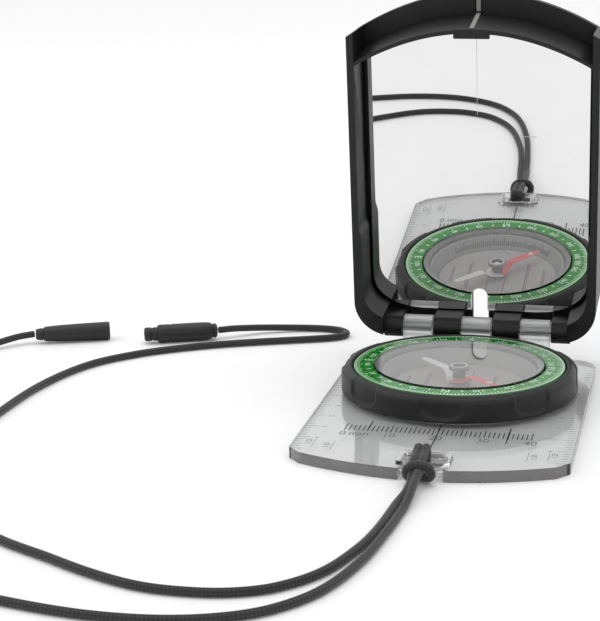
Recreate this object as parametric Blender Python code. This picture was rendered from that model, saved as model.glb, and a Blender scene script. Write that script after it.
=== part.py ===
"""Mirror sighting compass on a clear base plate, open on its table, with its breakaway lanyard.

Sizes are in millimetres and become metres when a mesh or a curve is made. +X is the plate's
right, +Y runs from the lanyard end to the hinge, +Z is up, and the plate's underside is z = 0.
Y = 0 is the middle of the plate and the raised lid, so the dial's axis stands at y = DIAL_Y.
"""
import math

import bmesh
import bpy
from mathutils import Vector
from mathutils.geometry import interpolate_bezier

MM = 0.001
GAP = 0.3                       # clearance between pieces that rest on each other

# Base plate, measured from the dial's axis
PLATE_T = 2.5
PLATE_HALF_W = 29.3
PLATE_FRONT = 55.2              # reach of the curved lanyard edge
PLATE_FRONT_SAG = 7.6           # how far the front edge's ends fall back from its middle
PLATE_REAR = 29.2
CORNER_R = 6.0
HOUSING_HOLE_R = 21.9
COUNTERBORE_R = 23.4
COUNTERBORE_H = 1.2

# Lanyard slot, its raised boss and the strip of plate that the cord goes round
SLOT_HALF_W = 4.3
SLOT_REAR = 47.4
SLOT_FRONT = 49.75
BOSS_HALF_W = 5.6
BOSS_REAR = 46.3
BOSS_H = 0.9
RELIEF_H = 1.9

# Hinge
HINGE_REACH = 30.3              # from the dial's axis
HINGE_Z = PLATE_T + 6.45
BARREL_R = 2.8
PIN_R = 0.8
PIN_BORE_R = PIN_R + GAP
PIN_HALF_L = 21.6
CLEAR_KNUCKLE_PITCH = 14.25
CLEAR_KNUCKLE_HALF = 3.5
BLACK_KNUCKLES = ((-22.6, -18.1), (-10.4, -3.85), (3.85, 10.4), (18.1, 22.6))

# Lid, in its own upright frame: h is height above the hinge axis, d is depth behind it
LID_LEAN_DEG = 7.0              # towards the lanyard end; 83 degrees open
LID_HALF_W = 29.0
LID_WALL = 1.65
LID_RIM_D = -6.15
LID_MIRROR_D = 4.65
LID_FLOOR_D = 6.95
LID_BACK_D = 8.5
LID_BOTTOM_H = -0.4
LID_CORNER_R = 8.5
ARCH_SAG = 0.0106               # the arches fall by this much times x squared
ARCH_TOP_H = 81.0
LEDGE_TOP_H = 76.1
LEDGE_UNDER_H = 74.3
LEDGE_DRAFT = 0.8
HORN_RISE = 1.2                 # extra height of the side walls at the rim
SLOT_TOP_H = 8.5
SIGHT_SLOT_HALF = 1.95
GRIP_HALF_W = 26.75             # inner faces beside the lower part of the mirror
GRIP_TOP_H = 24.0
INNER_CORNER_R = 6.5
INNER_CORNER_H = 4.05

# Housing that turns in the plate
BEZEL_R = 26.9
BEZEL_Z0 = PLATE_T + 0.4
BEZEL_TOP = PLATE_T + 5.95
BEZEL_RIM_TOP = PLATE_T + 6.2
SCALLOP_COUNT = 8
SCALLOP_DEPTH = 0.55
SCALLOP_HALF_DEG = 10.0
SHELF_Z = PLATE_T + 4.8
DIAL_R = 24.1
DIAL_INNER_R = 19.6
DIAL_TOP = PLATE_T + 6.1
CAPSULE_R = 19.3
CAPSULE_INNER_R = 17.8
CAPSULE_FLOOR_Z = 2.9
CAPSULE_RIM_Z = 7.3
LENS_Z = 8.1
LENS_TOP = 8.9
FLOOR_CARD_R = 15.3
NEEDLE_REACH = 13.8
NEEDLE_DISC_R = 2.9
NEEDLE_AZIMUTH_DEG = 46.0       # of the north half, from -Y towards +X

# Lanyard
CORD_D = 1.7
KNOT_X = -0.48
STRAND_HALF_W = 1.75
BIGHT_LEFT = -3.2
BIGHT_RIGHT = 3.7
CONNECTOR_R = 2.35

DIAL_Y = 0.5 * (PLATE_FRONT - HINGE_REACH
                - LID_BACK_D * math.cos(math.radians(LID_LEAN_DEG))
                + LID_BOTTOM_H * math.sin(math.radians(LID_LEAN_DEG)))
HINGE_Y = DIAL_Y + HINGE_REACH

COLOURS = {
    "clear": ((0.93, 0.95, 0.94), 0.08, 0.0, 0.25),
    "black": ((0.018, 0.018, 0.019), 0.42, 0.0, 1.0),
    "green": ((0.03, 0.24, 0.07), 0.5, 0.0, 1.0),
    "card": ((0.62, 0.62, 0.60), 0.55, 0.0, 1.0),
    "steel": ((0.62, 0.62, 0.64), 0.28, 1.0, 1.0),
    "red": ((0.75, 0.07, 0.05), 0.4, 0.0, 1.0),
    "mirror": ((0.92, 0.93, 0.94), 0.02, 1.0, 1.0),
    "foam": ((0.08, 0.08, 0.085), 0.9, 0.0, 1.0),
    "lume": ((0.55, 0.56, 0.48), 0.6, 0.0, 1.0),
    "jewel": ((0.75, 0.12, 0.22), 0.1, 0.0, 0.6),
    "cord": ((0.03, 0.03, 0.032), 0.8, 0.0, 1.0),
    "silicone": ((0.8, 0.82, 0.8), 0.4, 0.0, 0.5),
}


def clear_scene():
    for obj in list(bpy.data.objects):
        bpy.data.objects.remove(obj, do_unlink=True)


def material(name):
    mat = bpy.data.materials.get(name)
    if mat:
        return mat
    colour, roughness, metallic, alpha = COLOURS[name]
    mat = bpy.data.materials.new(name)
    mat.use_nodes = True
    shader = mat.node_tree.nodes["Principled BSDF"]
    shader.inputs["Base Color"].default_value = (*colour, 1.0)
    shader.inputs["Roughness"].default_value = roughness
    shader.inputs["Metallic"].default_value = metallic
    shader.inputs["Alpha"].default_value = alpha
    return mat


def add_object(name, bm, mat_name, origin=(0.0, 0.0, 0.0), lean=0.0, smooth=True):
    """Make a named object from a mesh drawn in millimetres about origin."""
    bmesh.ops.recalc_face_normals(bm, faces=bm.faces[:])
    for vert in bm.verts:
        vert.co *= MM
    mesh = bpy.data.meshes.new(name)
    bm.to_mesh(mesh)
    bm.free()
    mesh.materials.append(material(mat_name))
    if smooth:
        mesh.shade_smooth()
        mesh.set_sharp_from_angle(angle=math.radians(35.0))
    obj = bpy.data.objects.new(name, mesh)
    obj.location = Vector(origin) * MM
    obj.rotation_euler.x = lean
    bpy.context.scene.collection.objects.link(obj)
    return obj


def hide_tool(obj):
    obj.hide_render = True
    obj.display_type = "WIRE"


def combine(target, tool, operation):
    """Union with or cut by a tool object, which is left out of the model."""
    hide_tool(tool)
    mod = target.modifiers.new(operation.lower() + "_" + tool.name, "BOOLEAN")
    mod.operation = operation
    mod.solver = "EXACT"
    mod.object = tool


def prism(name, outline, low, high, mat_name, axis="z", **place):
    """Extrude a closed outline from low to high along axis x, y or z."""
    bm = bmesh.new()
    layers = []
    for level in (low, high):
        row = []
        for a, b in outline:
            point = {"z": (a, b, level), "y": (a, level, b), "x": (level, a, b)}[axis]
            row.append(bm.verts.new(point))
        layers.append(row)
    bm.faces.new(layers[0])
    bm.faces.new(layers[1])
    count = len(outline)
    for i in range(count):
        j = (i + 1) % count
        bm.faces.new((layers[0][i], layers[0][j], layers[1][j], layers[1][i]))
    return add_object(name, bm, mat_name, **place)


def turned(name, profile, mat_name, segments=72, **place):
    """Revolve a closed profile of (radius, z) about the vertical; radius 0 makes it solid."""
    bm = bmesh.new()
    rings = []
    for radius, z in profile:
        if radius == 0.0:
            rings.append([bm.verts.new((0.0, 0.0, z))])
            continue
        steps = [2.0 * math.pi * k / segments for k in range(segments)]
        rings.append([bm.verts.new((radius * math.cos(t), radius * math.sin(t), z)) for t in steps])
    for a, b in zip(rings, rings[1:] + rings[:1]):
        if len(a) == 1 and len(b) == 1:
            continue
        for k in range(segments):
            m = (k + 1) % segments
            corners = [a[k % len(a)], a[m % len(a)], b[m % len(b)], b[k % len(b)]]
            bm.faces.new(list(dict.fromkeys(corners)))
    return add_object(name, bm, mat_name, **place)


def arc(cx, cy, radius, start_deg, end_deg, steps):
    points = []
    for k in range(steps + 1):
        t = math.radians(start_deg + (end_deg - start_deg) * k / steps)
        points.append((cx + radius * math.cos(t), cy + radius * math.sin(t)))
    return points


def disc(radius, cx, cy, steps):
    return arc(cx, cy, radius, 0.0, 360.0 * (steps - 1) / steps, steps - 1)


def arch(x, height):
    return height - ARCH_SAG * x * x


# ---------------------------------------------------------------- base plate

def plate_outline():
    """Straight sides, rounded hinge corners and a bowed lanyard edge."""
    w = PLATE_HALF_W
    rear = DIAL_Y + PLATE_REAR
    points = arc(w - CORNER_R, rear - CORNER_R, CORNER_R, 0.0, 90.0, 6)
    points += arc(CORNER_R - w, rear - CORNER_R, CORNER_R, 90.0, 180.0, 6)
    front_ends = DIAL_Y - PLATE_FRONT + PLATE_FRONT_SAG
    points += arc(1.6 - w, front_ends + 2.4, 1.6, 180.0, 235.0, 3)
    steps = 18
    span = w - 2.6
    for k in range(steps + 1):
        x = -span + 2.0 * span * k / steps
        points.append((x, DIAL_Y - PLATE_FRONT + PLATE_FRONT_SAG * (x / w) ** 2))
    points += arc(w - 1.6, front_ends + 2.4, 1.6, 305.0, 360.0, 3)
    return points


def lug_outline():
    """Side view of a clear knuckle, from the plate's rear edge up and round the pin."""
    foot_front = HINGE_Y - BARREL_R
    foot_rear = DIAL_Y + PLATE_REAR + 0.4
    points = [(foot_front, 1.0), (DIAL_Y + PLATE_REAR - 0.3, 1.0), (foot_rear, PLATE_T - 0.1)]
    return points + arc(HINGE_Y, HINGE_Z, BARREL_R, -65.0, 180.0, 16)


def base_plate():
    plate = prism("base_plate", plate_outline(), 0.0, PLATE_T, "clear")
    front = DIAL_Y - SLOT_FRONT - 3.4
    rear = DIAL_Y - BOSS_REAR
    boss = []
    for cx, cy, turn in ((BOSS_HALF_W - 1.5, rear - 1.5, 0.0), (1.5 - BOSS_HALF_W, rear - 1.5, 90.0),
                         (1.5 - BOSS_HALF_W, front + 1.5, 180.0), (BOSS_HALF_W - 1.5, front + 1.5, 270.0)):
        boss += arc(cx, cy, 1.5, turn, turn + 90.0, 4)
    combine(plate, prism("boss_tool", boss, 1.0, PLATE_T + BOSS_H, "clear"), "UNION")
    for side in (-1, 0, 1):
        middle = side * CLEAR_KNUCKLE_PITCH
        lug = prism("lug_tool_%d" % (side + 1), lug_outline(), middle - CLEAR_KNUCKLE_HALF,
                    middle + CLEAR_KNUCKLE_HALF, "clear", axis="x")
        combine(plate, lug, "UNION")
    hole = prism("housing_hole_tool", disc(HOUSING_HOLE_R, 0.0, DIAL_Y, 72), -1.0, 5.0, "clear")
    combine(plate, hole, "DIFFERENCE")
    step = prism("counterbore_tool", disc(COUNTERBORE_R, 0.0, DIAL_Y, 72), -1.0, COUNTERBORE_H, "clear")
    combine(plate, step, "DIFFERENCE")
    slot_mid = DIAL_Y - 0.5 * (SLOT_REAR + SLOT_FRONT)
    slot_r = 0.5 * (SLOT_FRONT - SLOT_REAR)
    slot = arc(SLOT_HALF_W - slot_r, slot_mid, slot_r, -90.0, 90.0, 6)
    slot += arc(slot_r - SLOT_HALF_W, slot_mid, slot_r, 90.0, 270.0, 6)
    combine(plate, prism("slot_tool", slot, -1.0, 6.0, "clear"), "DIFFERENCE")
    relief = [(-4.6, DIAL_Y - 60.0), (4.6, DIAL_Y - 60.0), (4.6, DIAL_Y - SLOT_REAR - 0.2),
              (-4.6, DIAL_Y - SLOT_REAR - 0.2)]
    combine(plate, prism("relief_tool", relief, -1.0, RELIEF_H, "clear"), "DIFFERENCE")
    bore = prism("plate_bore_tool", disc(PIN_BORE_R, HINGE_Y, HINGE_Z, 20), -30.0, 30.0, "clear", axis="x")
    combine(plate, bore, "DIFFERENCE")


def hinge_pin():
    prism("hinge_pin", disc(PIN_R, HINGE_Y, HINGE_Z, 20), -PIN_HALF_L, PIN_HALF_L, "steel", axis="x")


# ---------------------------------------------------------------- housing

DIAL_ORIGIN = (0.0, DIAL_Y, 0.0)


def bezel_radius(angle_deg):
    """Grip ring outline: flat scallops spaced evenly, the first one facing the lanyard."""
    pitch = 360.0 / SCALLOP_COUNT
    off = abs((angle_deg + 90.0 + 0.5 * pitch) % pitch - 0.5 * pitch)
    if off <= SCALLOP_HALF_DEG:
        return BEZEL_R - SCALLOP_DEPTH
    if off <= SCALLOP_HALF_DEG + 1.5:
        return BEZEL_R - SCALLOP_DEPTH * (SCALLOP_HALF_DEG + 1.5 - off) / 1.5
    return BEZEL_R


def bezel_ring():
    """Black grip ring with a shelf for the graduated dial and a skirt through the plate."""
    skirt_r = HOUSING_HOLE_R - GAP
    inner_r = 20.2
    profile = [(1.0, BEZEL_Z0), (1.0, BEZEL_TOP - 0.7), (0.97, BEZEL_TOP)]
    inner = [(DIAL_R + 0.9, BEZEL_RIM_TOP), (DIAL_R + GAP, BEZEL_RIM_TOP), (DIAL_R + GAP, SHELF_Z),
             (DIAL_INNER_R, SHELF_Z), (DIAL_INNER_R, SHELF_Z - 1.0), (inner_r, SHELF_Z - 1.6),
             (inner_r, COUNTERBORE_H), (skirt_r, COUNTERBORE_H), (skirt_r, BEZEL_Z0)]
    angles = [3.0 * k for k in range(120)]
    for k in range(SCALLOP_COUNT):
        middle = 360.0 / SCALLOP_COUNT * k - 90.0
        for off in (SCALLOP_HALF_DEG, SCALLOP_HALF_DEG + 1.5):
            angles += [(middle - off) % 360.0, (middle + off) % 360.0]
    angles = sorted(set(round(a, 4) for a in angles))
    bm = bmesh.new()
    columns = []
    for angle in angles:
        t = math.radians(angle)
        outer_r = bezel_radius(angle)
        rows = [(outer_r * scale, z) for scale, z in profile] + inner
        columns.append([bm.verts.new((r * math.cos(t), r * math.sin(t), z)) for r, z in rows])
    for a, b in zip(columns, columns[1:] + columns[:1]):
        for k in range(len(a)):
            m = (k + 1) % len(a)
            bm.faces.new((a[k], b[k], b[m], a[m]))
    add_object("bezel_ring", bm, "black", origin=DIAL_ORIGIN)


def retaining_ring():
    """Ring under the plate's step, joined to the skirt, that keeps the housing in its hole."""
    outer = COUNTERBORE_R - GAP
    profile = [(20.3, 0.2), (outer, 0.2), (outer, COUNTERBORE_H - GAP), (20.3, COUNTERBORE_H - GAP)]
    turned("retaining_ring", profile, "black", origin=DIAL_ORIGIN)


def dial_ring():
    profile = [(DIAL_INNER_R, SHELF_Z + GAP), (DIAL_R, SHELF_Z + GAP), (DIAL_R, DIAL_TOP - 0.2),
               (DIAL_R - 0.2, DIAL_TOP), (DIAL_INNER_R, DIAL_TOP)]
    turned("dial_ring", profile, "green", origin=DIAL_ORIGIN)


def capsule_cup():
    profile = [(0.0, 0.5), (CAPSULE_R - 0.4, 0.5), (CAPSULE_R, 0.9), (CAPSULE_R, CAPSULE_RIM_Z),
               (CAPSULE_INNER_R, CAPSULE_RIM_Z), (CAPSULE_INNER_R, CAPSULE_FLOOR_Z), (0.0, CAPSULE_FLOOR_Z)]
    turned("capsule_cup", profile, "clear", origin=DIAL_ORIGIN)


def orienting_card():
    """Printed disc with the orienting lines, on the capsule's floor."""
    z0 = CAPSULE_FLOOR_Z + GAP
    profile = [(0.0, z0), (FLOOR_CARD_R, z0), (FLOOR_CARD_R, z0 + 0.25), (0.0, z0 + 0.25)]
    turned("orienting_card", profile, "card", origin=DIAL_ORIGIN)


def declination_ring():
    """Sloping ring inside the capsule wall that carries the declination scale."""
    z0 = CAPSULE_FLOOR_Z + GAP
    top = CAPSULE_RIM_Z - 0.4
    r_out = CAPSULE_INNER_R - GAP
    profile = [(FLOOR_CARD_R + GAP, z0), (r_out, z0), (r_out, top), (r_out - 0.5, top),
               (FLOOR_CARD_R + GAP, z0 + 0.5)]
    turned("declination_ring", profile, "card", origin=DIAL_ORIGIN)


def capsule_seal():
    low = CAPSULE_RIM_Z + GAP
    top = LENS_Z - GAP
    inner_r = CAPSULE_INNER_R + 0.1
    outer_r = CAPSULE_R - 0.1
    profile = [(inner_r, low), (outer_r, low), (outer_r, top), (inner_r, top)]
    turned("capsule_seal", profile, "silicone", origin=DIAL_ORIGIN)


def capsule_lens():
    """Flat window, a little proud of the dial."""
    profile = [(0.0, LENS_Z), (CAPSULE_R, LENS_Z), (CAPSULE_R, LENS_TOP - 0.2), (CAPSULE_R - 0.2, LENS_TOP),
               (0.0, LENS_TOP)]
    turned("capsule_lens", profile, "clear", origin=DIAL_ORIGIN)


def pivot():
    top = CAPSULE_FLOOR_Z + GAP + 0.25
    boss = [(0.65, top + GAP), (2.0, top + GAP), (2.0, 4.1), (1.75, 4.33), (0.65, 4.33)]
    turned("pivot_boss", boss, "black", segments=32, origin=DIAL_ORIGIN)
    pin = [(0.0, top + GAP), (0.35, top + GAP), (0.35, 5.0), (0.0, 5.45)]
    turned("pivot_pin", pin, "steel", segments=16, origin=DIAL_ORIGIN)


# ---------------------------------------------------------------- needle

def needle_blade():
    """Thin steel blade: a low disc round the pivot, with two arms that step up and taper."""
    stations = [(-NEEDLE_REACH, 1.0, 6.2), (-12.7, 1.5, 6.2), (-5.0, 2.0, 6.1), (-3.9, 2.1, 5.6), (-2.7, 2.6, 4.6),
                (2.7, 2.8, 4.6), (3.9, 2.3, 5.6), (5.0, 2.2, 6.1), (12.7, 1.7, 6.2), (NEEDLE_REACH, 1.0, 6.2)]
    thick = 0.22
    bm = bmesh.new()
    rows = []
    for along, width, z in stations:
        half = 0.5 * width
        corners = ((-half, z), (half, z), (half, z + thick), (-half, z + thick))
        rows.append([bm.verts.new((x, -along, zz)) for x, zz in corners])
    bm.faces.new(rows[0])
    bm.faces.new(rows[-1])
    for a, b in zip(rows, rows[1:]):
        for k in range(4):
            m = (k + 1) % 4
            bm.faces.new((a[k], a[m], b[m], b[k]))
    blade = add_object("needle_blade", bm, "red", origin=DIAL_ORIGIN)
    blade.rotation_euler.z = math.radians(NEEDLE_AZIMUTH_DEG)
    middle = prism("blade_disc_tool", disc(NEEDLE_DISC_R, 0.0, 0.0, 40), 4.58, 4.84, "red", origin=DIAL_ORIGIN)
    combine(blade, middle, "UNION")
    eye = prism("blade_eye_tool", disc(1.0, 0.0, 0.0, 20), 3.0, 7.0, "red", origin=DIAL_ORIGIN)
    combine(blade, eye, "DIFFERENCE")


def needle_hub():
    """Stepped black hub over the pivot: magnet and jewel in its bore, a pale ring round its open top."""
    shell = [(1.25, 5.12), (1.5, 5.12), (1.5, 6.35), (2.4, 7.0), (2.4, 7.3), (1.7, 7.3), (1.7, 7.05), (0.0, 7.05),
             (0.0, 6.75), (1.25, 6.75)]
    turned("needle_hub", shell, "black", segments=40, origin=DIAL_ORIGIN)
    magnet = [(0.0, 5.95), (0.95, 5.95), (0.95, 6.45), (0.0, 6.45)]
    turned("needle_magnet", magnet, "steel", segments=32, origin=DIAL_ORIGIN)
    jewel = [(0.7, 5.2), (0.7, 5.65), (0.0, 5.65), (0.0, 5.58), (0.45, 5.2)]
    turned("needle_jewel", jewel, "jewel", segments=24, origin=DIAL_ORIGIN)
    cap = [(1.7, 7.6), (2.4, 7.6), (2.4, 7.75), (1.7, 7.75)]
    turned("hub_cap", cap, "card", segments=32, origin=DIAL_ORIGIN)


# ---------------------------------------------------------------- lid

LID_PLACE = {"origin": (0.0, HINGE_Y, HINGE_Z), "lean": math.radians(LID_LEAN_DEG)}


def arch_points(half_w, height, steps):
    """Points along an arch from +half_w to -half_w."""
    xs = [half_w - 2.0 * half_w * k / steps for k in range(steps + 1)]
    return [(x, arch(x, height)) for x in xs]


def lid_floor_outline():
    w = LID_HALF_W
    centre_h = LID_BOTTOM_H + LID_CORNER_R
    points = arc(w - LID_CORNER_R, centre_h, LID_CORNER_R, -90.0, 0.0, 8)
    points += arch_points(w, ARCH_TOP_H, 24)
    points += arc(LID_CORNER_R - w, centre_h, LID_CORNER_R, 180.0, 270.0, 8)
    return points


def side_wall_outline(side):
    """Wall from the hinge block, round the corner and up one side to the arch."""
    w = LID_HALF_W
    centre_h = LID_BOTTOM_H + LID_CORNER_R
    inner_h = INNER_CORNER_H + INNER_CORNER_R
    points = [(22.2, LID_BOTTOM_H)]
    points += [p for p in arc(w - LID_CORNER_R, centre_h, LID_CORNER_R, -90.0, 0.0, 8) if p[0] > 22.3]
    points += [(w, arch(w, ARCH_TOP_H)), (w - LID_WALL, arch(w - LID_WALL, ARCH_TOP_H))]
    points += [(w - LID_WALL, GRIP_TOP_H + 3.0), (GRIP_HALF_W, GRIP_TOP_H)]
    corner = arc(GRIP_HALF_W - INNER_CORNER_R, inner_h, INNER_CORNER_R, 0.0, -90.0, 8)
    points += [p for p in corner if p[0] > 22.3]
    points.append((22.2, INNER_CORNER_H + 0.2))
    return [(side * x, h) for x, h in points]


def raise_rim(obj, rule):
    """Shift the rim-side vertices of a lid wall upwards, to give it draft."""
    for vert in obj.data.vertices:
        if vert.co.y < (LID_RIM_D + 0.1) * MM:
            vert.co.z += rule(vert.co.z / MM) * MM


def lid_shell():
    shell = prism("lid_shell", lid_floor_outline(), LID_FLOOR_D, LID_BACK_D, "black", axis="y", **LID_PLACE)
    for side in (-1, 1):
        wall = prism("side_wall_tool_%d" % (side + 1), side_wall_outline(side), LID_RIM_D, LID_FLOOR_D + 0.5,
                     "black", axis="y", **LID_PLACE)
        raise_rim(wall, lambda h: HORN_RISE if h > 60.0 else 0.0)
        combine(shell, wall, "UNION")
    reach = LID_HALF_W - 0.5 * LID_WALL
    ledge_outline = arch_points(reach, LEDGE_TOP_H, 24) + arch_points(reach, LEDGE_UNDER_H, 24)[::-1]
    ledge = prism("ledge_tool", ledge_outline, LID_RIM_D, LID_FLOOR_D + 0.4, "black", axis="y", **LID_PLACE)
    top_count = 25
    for index, vert in enumerate(ledge.data.vertices):
        on_top = index % len(ledge_outline) < top_count
        if vert.co.y < (LID_RIM_D + 0.1) * MM and on_top:
            vert.co.z -= LEDGE_DRAFT * MM
    combine(shell, ledge, "UNION")
    tab = [(-4.1, 73.1), (4.1, 73.1), (4.1, 75.0), (-4.1, 75.0)]
    combine(shell, prism("tab_tool", tab, LID_RIM_D + 0.05, LID_RIM_D + 1.25, "black", axis="y", **LID_PLACE), "UNION")
    for index, (x0, x1) in enumerate(BLACK_KNUCKLES):
        barrel = arc(0.0, 0.0, BARREL_R, 100.0, 345.0, 14)
        side_view = [(LID_FLOOR_D + 0.4, LID_BOTTOM_H), (LID_FLOOR_D + 0.4, 2.6)] + barrel
        knuckle = prism("knuckle_tool_%d" % index, side_view, x0, x1, "black", axis="x", **LID_PLACE)
        combine(shell, knuckle, "UNION")
    slot = [(-SIGHT_SLOT_HALF, -3.0), (SIGHT_SLOT_HALF, -3.0)]
    slot += arc(0.0, SLOT_TOP_H - SIGHT_SLOT_HALF, SIGHT_SLOT_HALF, 0.0, 180.0, 8)
    combine(shell, prism("sight_slot_tool", slot, 4.0, 12.0, "black", axis="y", **LID_PLACE), "DIFFERENCE")
    bore = prism("lid_bore_tool", disc(PIN_BORE_R, 0.0, 0.0, 20), -PIN_HALF_L - GAP, PIN_HALF_L + GAP, "black",
                 axis="x", **LID_PLACE)
    combine(shell, bore, "DIFFERENCE")
    groove = [(-0.9, 72.0), (0.9, 72.0), (0.9, 84.0), (-0.9, 84.0)]
    lip_groove = prism("lip_groove_tool", groove, 6.0, LID_FLOOR_D + 0.5, "black", axis="y", **LID_PLACE)
    combine(shell, lip_groove, "DIFFERENCE")
    ledge_groove = [(-0.9, LEDGE_TOP_H - 0.45), (0.9, LEDGE_TOP_H - 0.45), (0.9, 80.0), (-0.9, 80.0)]
    cut = prism("ledge_groove_tool", ledge_groove, -5.4, LID_FLOOR_D + 0.2, "black", axis="y", **LID_PLACE)
    for vert in cut.data.vertices:
        if vert.co.y < 0.0 and vert.co.z < 78.0 * MM:
            vert.co.z -= LEDGE_DRAFT * MM
    combine(shell, cut, "DIFFERENCE")


MIRROR_CORNER = ((14.0, 2.9), (17.2, 3.2), (19.7, 3.75), (22.2, 4.9), (23.5, 5.75), (24.7, 6.9), (25.7, 8.5),
                 (26.2, 10.4), (26.3, 12.4))


def mirror_outline(margin):
    """The mirror's outline: swept lower corners, straight sides, arched top under the ledge."""
    shrink = 1.0 - margin / MIRROR_CORNER[-1][0]
    points = [(x * shrink, h + margin) for x, h in MIRROR_CORNER]
    points += arch_points(MIRROR_CORNER[-1][0] * shrink, LEDGE_UNDER_H - GAP - margin, 20)
    points += [(-x * shrink, h + margin) for x, h in MIRROR_CORNER[::-1]]
    return points


def sight_notch(name, half_w, top_h):
    notch = [(-half_w, -3.0), (half_w, -3.0)] + arc(0.0, top_h - half_w, half_w, 0.0, 180.0, 8)
    return prism(name, notch, 3.0, 8.0, "mirror", axis="y", **LID_PLACE)


def mirror():
    glass = prism("mirror_glass", mirror_outline(0.0), LID_MIRROR_D, LID_MIRROR_D + 1.2, "mirror", axis="y",
                  **LID_PLACE)
    combine(glass, sight_notch("glass_notch_tool", SIGHT_SLOT_HALF, SLOT_TOP_H), "DIFFERENCE")
    pad = prism("mirror_pad", mirror_outline(1.2), LID_MIRROR_D + 1.5, LID_FLOOR_D - GAP, "foam", axis="y",
                **LID_PLACE)
    combine(pad, sight_notch("pad_notch_tool", SIGHT_SLOT_HALF + 0.6, SLOT_TOP_H + 0.6), "DIFFERENCE")


def sight_lines():
    """Pale alignment strips: one along the ledge, one up the lip behind it."""
    lip = [(-0.5, LEDGE_TOP_H + 0.5), (0.5, LEDGE_TOP_H + 0.5), (0.5, ARCH_TOP_H - 0.6), (-0.5, ARCH_TOP_H - 0.6)]
    prism("lip_line", lip, LID_FLOOR_D - 0.05, LID_FLOOR_D + 0.2, "lume", axis="y", **LID_PLACE)
    low = LEDGE_TOP_H - 0.15
    strip = [(-0.5, low), (0.5, low), (0.5, low + 0.3), (-0.5, low + 0.3)]
    line = prism("ledge_line", strip, -5.1, LID_FLOOR_D - 0.35, "lume", axis="y", **LID_PLACE)
    for vert in line.data.vertices:
        if vert.co.y < 0.0:
            vert.co.z -= LEDGE_DRAFT * MM


# ---------------------------------------------------------------- lanyard

def smooth_route(points, step):
    """Points every step along a smooth curve through the route's own points."""
    route = [Vector(p) for p in points]
    fine = []
    for k in range(len(route) - 1):
        before = route[k - 1] if k else route[0] * 2.0 - route[1]
        after = route[k + 2] if k + 2 < len(route) else route[-1] * 2.0 - route[-2]
        span = (route[k + 1] - route[k]).length
        lead = (route[k + 1] - before).normalized() * span / 3.0
        trail = (after - route[k]).normalized() * span / 3.0
        fine += interpolate_bezier(route[k], route[k] + lead, route[k + 1] - trail, route[k + 1], 24)[:-1]
    fine.append(route[-1])
    lengths = [0.0]
    for a, b in zip(fine, fine[1:]):
        lengths.append(lengths[-1] + (b - a).length)
    count = max(2, round(lengths[-1] / step))
    result = []
    index = 0
    for k in range(count + 1):
        want = lengths[-1] * k / count
        while index < len(fine) - 2 and lengths[index + 1] < want:
            index += 1
        part = (want - lengths[index]) / max(1e-9, lengths[index + 1] - lengths[index])
        result.append(fine[index].lerp(fine[index + 1], min(1.0, part)))
    return result


def cord(name, route):
    """A round cord along a route of (x, y from the dial's axis, z)."""
    points = smooth_route([(x, y + DIAL_Y, z) for x, y, z in route], 5.2)
    curve = bpy.data.curves.new(name, "CURVE")
    curve.dimensions = "3D"
    curve.bevel_depth = 0.5 * CORD_D * MM
    curve.bevel_resolution = 2
    curve.use_fill_caps = True
    spline = curve.splines.new("POLY")
    spline.points.add(len(points) - 1)
    for spot, point in zip(spline.points, points):
        spot.co = (*(point * MM), 1.0)
    curve.materials.append(material("cord"))
    obj = bpy.data.objects.new(name, curve)
    bpy.context.scene.collection.objects.link(obj)


LEG_A = [(-0.85, -61.0, 1.7), (-1.2, -65.2, 1.2), (-1.95, -70.5, 0.95), (-3.05, -83.7, 0.9), (-4.85, -94.3, 0.9),
         (-9.0, -106.4, 0.9), (-15.4, -114.3, 0.9), (-22.4, -117.9, 0.9), (-30.4, -119.0, 0.9),
         (-39.0, -118.2, 0.9), (-48.9, -114.4, 0.9), (-59.6, -108.6, 0.9), (-70.7, -102.5, 0.9),
         (-81.8, -93.6, 0.9), (-91.0, -81.0, 0.9), (-97.2, -65.5, 0.9), (-100.2, -48.5, 0.9),
         (-100.3, -31.9, 0.9), (-98.4, -8.5, 0.9), (-92.9, 9.8, 0.9), (-84.2, 20.9, 0.9), (-74.1, 28.6, 0.9),
         (-63.6, 34.3, 0.9), (-52.9, 38.8, 0.9), (-43.6, 42.4, 0.9), (-38.0, 45.2, 0.9), (-36.2, 48.6, 0.9),
         (-38.6, 51.6, 0.9), (-43.4, 52.6, 0.9), (-50.2, 51.8, 1.0), (-58.4, 48.6, 1.5), (-65.1, 43.9, 2.2),
         (-68.4, 41.3, 2.35)]
LEG_B = [(0.3, -61.0, 3.0), (0.2, -65.4, 2.4), (0.1, -68.6, 1.75), (-0.1, -71.5, 1.2), (-0.45, -75.5, 0.92),
         (-1.3, -85.5, 0.9), (-3.2, -100.0, 0.9),
         (-7.3, -114.0, 0.9), (-13.3, -122.8, 0.9), (-20.4, -127.8, 0.9), (-30.2, -130.9, 0.9),
         (-41.6, -131.6, 0.9), (-53.0, -130.2, 0.9), (-66.0, -126.9, 0.9), (-82.0, -120.4, 0.9),
         (-98.0, -110.0, 0.9), (-112.0, -95.8, 0.9), (-123.4, -77.6, 0.9), (-130.8, -57.0, 0.9),
         (-134.0, -35.5, 0.9), (-133.2, -14.0, 0.9), (-129.2, 5.6, 0.9), (-123.6, 19.6, 1.3),
         (-118.2, 26.6, 2.1), (-114.6, 29.4, 2.35)]


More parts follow.
